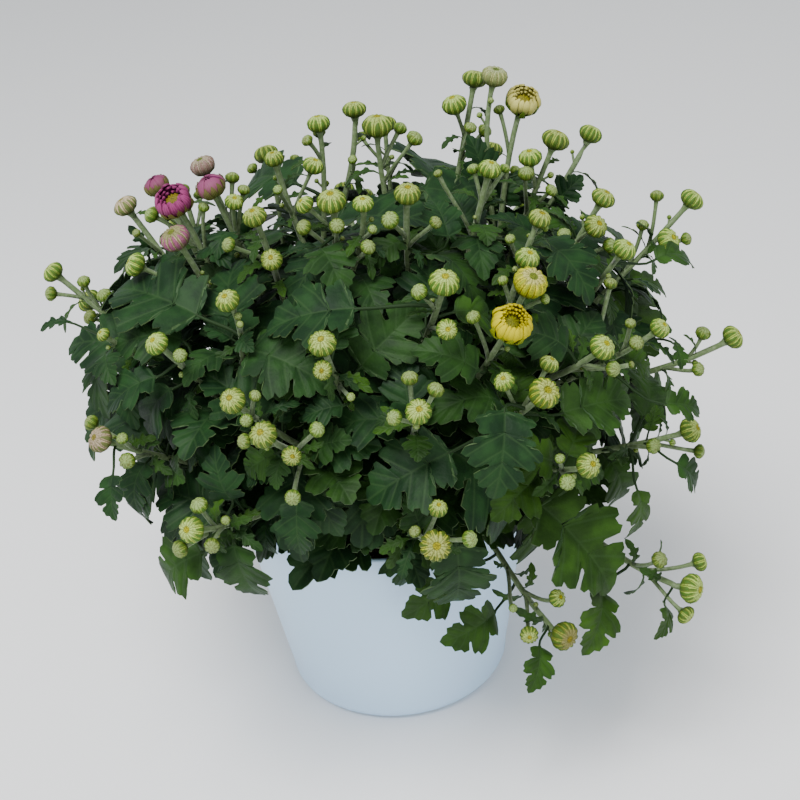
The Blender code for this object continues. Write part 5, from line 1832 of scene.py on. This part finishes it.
for (name, number), route in smooth_routes.items():
    for _ in range(BRACTS_A_STEM):
        start, way = along(route, rng.uniform(0.6, 0.95))
        grow_bract(name, start, way, Quaternion(way, rng.uniform(0, 2 * math.pi)) @ way.orthogonal(), rng)
    for _ in range(TINY_BUDS_A_SPRAY):
        start, way = along(route, rng.uniform(0.80, 0.93))
        side = Quaternion(way, rng.uniform(0, 2 * math.pi)) @ unit(way.orthogonal())
        aim = unit(way + side * rng.uniform(0.5, 1.0))
        reach = rng.uniform(*TINY_REACHES)
        width = rng.uniform(*TINY_WIDTHS)
        head = start + aim * reach
        stretch = [head - aim * width / 2, head, head + aim * width / 2]
        ball = loft(stretch, [TINY_STALK, width / 2, TINY_STALK], 5)
        if room.clear(*ball):
            room.take(*ball, name)
            green_spots[name].append(bud_spot(head, aim, width, 3, rng))
            strands[name].append([(start, TINY_STALK), (head - aim * width * 0.3, 0.00055)])


def made_one(members):
    """Joins several pieces into the first of them."""
    with bpy.context.temp_override(active_object=members[0], selected_editable_objects=members):
        bpy.ops.object.join()
    return members[0]


STREWN_KINDS = (
    ("leaves_of_", leaf_spots, leaf_forms, leaf_skin),
    ("buds_of_", ripe_spots, bud_forms, bud_skin),
    ("blushed_buds_of_", blushed_spots, bud_forms, blushed_skin),
    ("green_buds_of_", green_spots, bud_forms, green_skin),
)
for name in sprays:
    members = [
        grown(
            add_curve("stems_of_" + name, strands[name]),
            sweep_tree,
            ridges=STEM_RIDGES,
            ridge_depth=STEM_RIDGE_DEPTH,
            material=stem_skin,
        )
    ]
    if petioles[name]:
        drawn = add_curve("petioles_of_" + name, petioles[name])
        ridging = {"ridges": PETIOLE_RIDGES, "ridge_depth": PETIOLE_RIDGE_DEPTH}
        members.append(grown(drawn, sweep_tree, material=petiole_skin, **ridging))
    for kind, spots, forms, skin in STREWN_KINDS:
        if spots[name]:
            members.append(strewn(kind + name, spots[name], forms, skin))
    plant = made_one(members)
    plant.name = name.replace("leafy_stem", "stem") + "_grown"
    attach(plant, "root")
    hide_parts(name)
for forms in (bud_forms, leaf_forms):
    for member in list(forms.objects):
        bpy.data.objects.remove(member, do_unlink=True)
    bpy.data.collections.remove(forms)

# THE BLOOMS
# The twelve buds that show colour. Five have rings of folded petals round an eye, over a cup of
# small green bracts, all set by Geometry Nodes. The other seven are still wrapped and ribbed.
petal_tree, given, result = new_tree(
    "ring_of_petals",
    ("Petal", "Object", None),
    ("Petals", "Int", 12),
    ("Spread", "Float", 0.1),
    ("First Turn", "Float", 0.0),
    ("Seed", "Int", 1),
    ("Material", "Material", None),
)
ring = add_node(petal_tree, "GeometryNodeMeshCircle", vertices=given.outputs["Petals"], radius=0.001)
order = add_node(petal_tree, "GeometryNodeInputIndex")
share = math_node(petal_tree, "DIVIDE", order.outputs[0], given.outputs["Petals"])
round_turn = math_node(petal_tree, "MULTIPLY_ADD", share, 2 * math.pi, given.outputs["First Turn"])
loosened = add_node(petal_tree, "FunctionNodeRandomValue", {"data_type": "FLOAT"}, min=-1.0, max=1.0)
petal_tree.links.new(given.outputs["Seed"], loosened.inputs["Seed"])
nod = math_node(petal_tree, "MULTIPLY", loosened.outputs[1], given.outputs["Spread"])
tilted = add_node(petal_tree, "ShaderNodeCombineXYZ", y=nod, z=round_turn)
grown_by = add_node(petal_tree, "FunctionNodeRandomValue", {"data_type": "FLOAT"}, min=0.93, max=1.05, seed=7)
shown = add_node(petal_tree, "GeometryNodeObjectInfo", object=given.outputs["Petal"])
origin = add_node(petal_tree, "GeometryNodeSetPosition", geometry=ring.outputs[0], position=(0, 0, 0))
laid = add_node(
    petal_tree,
    "GeometryNodeInstanceOnPoints",
    points=origin.outputs[0],
    instance=shown.outputs["Geometry"],
    rotation=tilted.outputs[0],
    scale=grown_by.outputs[1],
)
finish_tree(petal_tree, laid.outputs[0], given, result)

PETAL_COLUMNS = 5


def petal(name, profile, thickness, bulge, slim=1):
    """One petal that stands along +X of the axis. Its profile is a list of (height, radius, width);
    its middle bulges outwards. Its map holds the place across and along it."""
    points, faces, flat = [], [], []
    for row, (height, radius, width) in enumerate(profile):
        for column in range(PETAL_COLUMNS):
            across = column / (PETAL_COLUMNS - 1) - 0.5
            out = radius + bulge * width * (0.5 - 4 * across * across * 0.5)
            points.append((out, across * width * slim, height))
            flat.append((across + 0.5, row / (len(profile) - 1)))
    for row in range(len(profile) - 1):
        for column in range(PETAL_COLUMNS - 1):
            a = row * PETAL_COLUMNS + column
            faces.append((a, a + 1, a + 1 + PETAL_COLUMNS, a + PETAL_COLUMNS))
    sheet = bpy.data.objects.new(name, mapped(name, points, faces, flat))
    return thickened(sheet, thickness)


def petal_ring(name, form, count, spread, first_turn, seed, material):
    """A ring of one petal form; the form is used up."""
    holder = in_scene(name, bpy.data.meshes.new(name))
    values = {"petal": form, "petals": count, "spread": spread, "first_turn": first_turn, "seed": seed}
    made = grown(holder, petal_tree, material=material, **values)
    bpy.data.objects.remove(form, do_unlink=True)
    return made


def petal_finish(name, base, tip, streak, inside):
    """Petals coloured from base to tip, streaked along, with their inner side in its own colour."""
    material, tree, shader = finish_named(name, 0.55, 0.15)
    place, _, up_petal = map_place(tree, "form")
    height = math_node(tree, "MULTIPLY_ADD", noise_on_object(tree, 420, 3), 0.2, up_petal)
    wave = tree.nodes.new("ShaderNodeTexWave")
    wave.inputs["Scale"].default_value = 1.1
    wave.inputs["Distortion"].default_value = 1.5
    tree.links.new(place, wave.inputs["Vector"])
    waves = wave.outputs["Fac"]
    height = math_node(tree, "MULTIPLY_ADD", waves, -0.25, height)
    body = mixed(tree, smooth_step(tree, height, 0.15, 0.85), (*base, 1), (*tip, 1))
    body = mixed(tree, math_node(tree, "MULTIPLY", waves, 0.55), body, (*streak, 1))
    side_mark = smooth_step(tree, attribute_node(tree, "side"), 0.6, 0.9)
    tree.links.new(mixed(tree, side_mark, body, (*inside, 1)), shader.inputs["Base Color"])
    relief(tree, shader, waves, 0.25, 0.0002)
    return material


# The blooms that have petals to see: base, tip, streak and inner side, then the eye and the bracts.
PETAL_COLOURS = {
    "magenta": (
        (0.14, 0.03, 0.05), (0.27, 0.048, 0.15), (0.19, 0.014, 0.085),
        (0.09, 0.002, 0.045), (0.2, 0.17, 0.008), (0.1, 0.08, 0.02),
    ),
    "pink": (
        (0.1, 0.085, 0.03), (0.2, 0.035, 0.115), (0.15, 0.045, 0.06),
        (0.06, 0.002, 0.02), (0.12, 0.12, 0.015), (0.065, 0.06, 0.016),
    ),
    "rose": (
        (0.11, 0.085, 0.03), (0.2, 0.028, 0.12), (0.2, 0.09, 0.09),
        (0.06, 0.001, 0.02), (0.08, 0.004, 0.02), (0.065, 0.055, 0.016),
    ),
    "yellow": (
        (0.26, 0.25, 0), (0.47, 0.4, 0), (0.5, 0.44, 0),
        (0.3, 0.23, 0), (0.17, 0.18, 0.002), (0.12, 0.14, 0.004),
    ),
    "cream": (
        (0.2, 0.22, 0.03), (0.48, 0.44, 0.11), (0.52, 0.49, 0.17),
        (0.28, 0.25, 0.02), (0.25, 0.23, 0.01), (0.05, 0.09, 0.008),
    ),
}
# Those that are still wrapped: foot, crest, margin, painted shade in the grooves, top and eye.
WRAPPED_COLOURS = {
    "lemon": (
        (0.03, 0.07, 0.008), (0.05, 0.1, 0.006), (0.42, 0.48, 0.035),
        (0.045, 0.07, 0.005), (0.34, 0.39, 0.1), (0.34, 0.31, 0),
    ),
    "cream_green": (
        (0.03, 0.08, 0.008), (0.05, 0.12, 0.006), (0.44, 0.52, 0.04),
        (0.045, 0.075, 0.005), (0.39, 0.46, 0.11), (0.27, 0.27, 0),
    ),
    "lime": (
        (0.025, 0.06, 0.006), (0.05, 0.11, 0.006), (0.24, 0.3, 0.03),
        (0.07, 0.09, 0.008), (0.23, 0.22, 0.07), (0.26, 0.22, 0),
    ),
    "soft_yellow": (
        (0.04, 0.09, 0.006), (0.3, 0.34, 0.01), (0.62, 0.58, 0.01),
        (0.07, 0.11, 0.006), (0.5, 0.48, 0.14), (0.16, 0.21, 0.01),
    ),
    "pale_cream": (
        (0.03, 0.07, 0.01), (0.2, 0.25, 0.08), (0.42, 0.42, 0.17),
        (0.12, 0.17, 0.03), (0.36, 0.4, 0.2), (0.1, 0.15, 0.02),
    ),
    "blush": (
        (0.04, 0.06, 0.015), (0.21, 0.13, 0.11), (0.39, 0.28, 0.24),
        (0.07, 0.09, 0.025), (0.34, 0.28, 0.2), (0.12, 0.17, 0.01),
    ),
    "striped_pink": (
        (0.04, 0.07, 0.012), (0.27, 0.07, 0.15), (0.38, 0.31, 0.18),
        (0.08, 0.06, 0.02), (0.24, 0.24, 0.1), (0.14, 0.18, 0.01),
    ),
}
# Each petal's profile goes from its foot to its tip: height, radius and width in bloom widths.
OPEN_RINGS = (
    (
        (-0.33, 0.14, 0.1),
        (-0.24, 0.3, 0.16),
        (-0.06, 0.42, 0.23),
        (0.1, 0.465, 0.25),
        (0.22, 0.43, 0.22),
        (0.3, 0.37, 0.14),
        (0.335, 0.33, 0.03),
    ),
    (
        (-0.2, 0.24, 0.12),
        (0.0, 0.35, 0.18),
        (0.13, 0.37, 0.2),
        (0.22, 0.33, 0.16),
        (0.28, 0.27, 0.03),
    ),
    (
        (-0.15, 0.2, 0.1),
        (0.0, 0.28, 0.14),
        (0.1, 0.285, 0.15),
        (0.16, 0.25, 0.11),
        (0.19, 0.2, 0.03),
    ),
)
CLOSED_RINGS = (
    (
        (-0.33, 0.16, 0.1),
        (-0.26, 0.32, 0.16),
        (-0.1, 0.44, 0.22),
        (0.06, 0.455, 0.24),
        (0.2, 0.39, 0.22),
        (0.3, 0.25, 0.15),
        (0.335, 0.13, 0.03),
    ),
    (
        (-0.2, 0.3, 0.14),
        (0.0, 0.38, 0.18),
        (0.16, 0.32, 0.17),
        (0.26, 0.2, 0.13),
        (0.28, 0.1, 0.03),
    ),
)
OPEN_BLOOMS = ("magenta", "yellow", "cream")
BRACT = (
    (-0.345, 0.140, 0.15),
    (-0.27, 0.350, 0.21),
    (-0.12, 0.480, 0.19),
    (0.02, 0.498, 0.12),
    (0.11, 0.488, 0.02),
)
WRAPPED = (
    (-0.36, 0.00, 0.0),
    (-0.33, 0.20, 0.2),
    (-0.22, 0.39, 0.6),
    (-0.08, 0.470, 1.0),
    (0.08, 0.490, 1.2),
    (0.19, 0.440, 1.2),
    (0.27, 0.340, 1.0),
    (0.30, 0.240, 0.7),
    (0.30, 0.150, 0.4),
    (0.285, 0.080, 0.2),
    (0.28, 0.00, 0.0),
)
TALL_BRACT = (
    (-0.30, 0.220, 0.14),
    (-0.20, 0.440, 0.22),
    (-0.05, 0.512, 0.20),
    (0.10, 0.510, 0.14),
    (0.21, 0.460, 0.02),
)
# How far some nod towards the front, against how their stalks aim.
NODS = {"cream": 0.8, "magenta": 0.5, "pale_cream": 0.3}
CORE = (
    (-0.25, 0.00, 0.0),
    (-0.15, 0.20, 0.5),
    (0.06, 0.25, 1.0),
    (0.12, 0.20, 1.0),
    (0.15, 0.10, 0.6),
    (0.16, 0.00, 0.0),
)
PETALS = {"yellow": 22, "cream": 16}
USUAL_PETALS = 13
PETAL_THICKNESS = 0.045
PETAL_BULGE = 0.28
PETAL_NOD = 0.09
CUP_BRACTS = 12
TALL_BRACTS = 13
BRACT_BULGE = 0.12
BRACT_FOOT = (0.03, 0.065, 0.008)

rng = random.Random(SEED + 8)
for name, number, centre, axis, width in ends:
    colour = sprays[name][number].bloom
    if not colour:
        continue
    if colour in WRAPPED_COLOURS:
        bloom = ribbed_bud(colour, 13, 6, WRAPPED, 0.13)
        bpy.context.scene.collection.objects.link(bloom)
        bloom.data.materials.append(bud_finish(colour + "_bud", *WRAPPED_COLOURS[colour]))
    else:
        base, tip, streak, inside, eye, bract = PETAL_COLOURS[colour]
        finish = petal_finish(colour + "_petal", base, tip, streak, inside)
        edge = tuple(3 * part for part in bract)
        bract_finish = petal_finish(colour + "_bract", BRACT_FOOT, bract, edge, bract)
        count = PETALS.get(colour, USUAL_PETALS)
        members = []
        for layer, profile in enumerate(OPEN_RINGS if colour in OPEN_BLOOMS else CLOSED_RINGS):
            form = petal("petal", profile, PETAL_THICKNESS, PETAL_BULGE, USUAL_PETALS / count)
            rank = (count - 2 * layer, PETAL_NOD, 0.2 * layer, 3 + number + layer)
            members.append(petal_ring("petals", form, *rank, finish))
        cup = petal("bract", BRACT, 0.035, BRACT_BULGE)
        members.append(petal_ring("bracts", cup, CUP_BRACTS, 0.03, 0.1, 7, bract_finish))
        if colour not in OPEN_BLOOMS:
            tall = petal("bract", TALL_BRACT, 0.03, BRACT_BULGE)
            members.append(petal_ring("tall_bracts", tall, TALL_BRACTS, 0.04, 0.4, 11, bract_finish))
        core = ribbed_bud("core", 12, 4, CORE, 0.14)
        bpy.context.scene.collection.objects.link(core)
        shade = tuple(0.5 * part for part in eye)
        core.data.materials.append(bud_finish(colour + "_eye", shade, eye, eye, shade, eye, eye))
        bloom = made_one(members + [core])
    bloom.name = colour + "_petals_grown"
    spin = Quaternion((0, 0, 1), rng.uniform(0, 2 * math.pi))
    axis = unit(axis + unit(eye_place - centre) * NODS.get(colour, 0))
    turned_to = (axis.to_track_quat("Z", "Y") @ spin).to_matrix().to_4x4()
    bloom.data.transform(Matrix.Translation(centre) @ turned_to @ Matrix.Scale(width, 4))
    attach(bloom, "root")
    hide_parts("bloom_" + colour)

# THE STAGE
# A plain pale floor in soft studio light. Most of it falls from the upper left, in front of the
# plant, and a weaker one fills in from the right.
FLOOR_SIZE = 8.0
FLOOR_COLOUR = (0.90, 0.90, 0.90, 1)
STUDIO_COLOUR = (0.93, 0.97, 1.0, 1)
STUDIO_STRENGTH = 0.78
LIGHT_SIZE = 0.8
LIT_POINT = Vector((0, 0, 0.1))
LIGHTS = {"overhead": (Vector((-0.35, -0.55, 1.5)), 34), "front": (Vector((0.5, -1.5, 0.7)), 6)}

floor_mesh = bpy.data.meshes.new("floor")
half = FLOOR_SIZE / 2
floor_corners = [(-half, -half, 0), (half, -half, 0), (half, half, 0), (-half, half, 0)]
floor_mesh.from_pydata(floor_corners, [], [(0, 1, 2, 3)])
floor = in_scene("floor", floor_mesh)
pale, *_ = finish_named("pale_floor", 0.9, colour=FLOOR_COLOUR)
floor_mesh.materials.append(pale)

world = bpy.data.worlds.new("studio")
world.use_nodes = True
backdrop = world.node_tree.nodes["Background"]
backdrop.inputs["Color"].default_value = STUDIO_COLOUR
backdrop.inputs["Strength"].default_value = STUDIO_STRENGTH
bpy.context.scene.world = world
for name, (place, power) in LIGHTS.items():
    lamp = bpy.data.lights.new(name, "AREA")
    lamp.size = LIGHT_SIZE
    lamp.energy = power
    light = in_scene(name, lamp)
    light.location = place
    light.rotation_euler = (LIT_POINT - place).to_track_quat("-Z", "Y").to_euler()
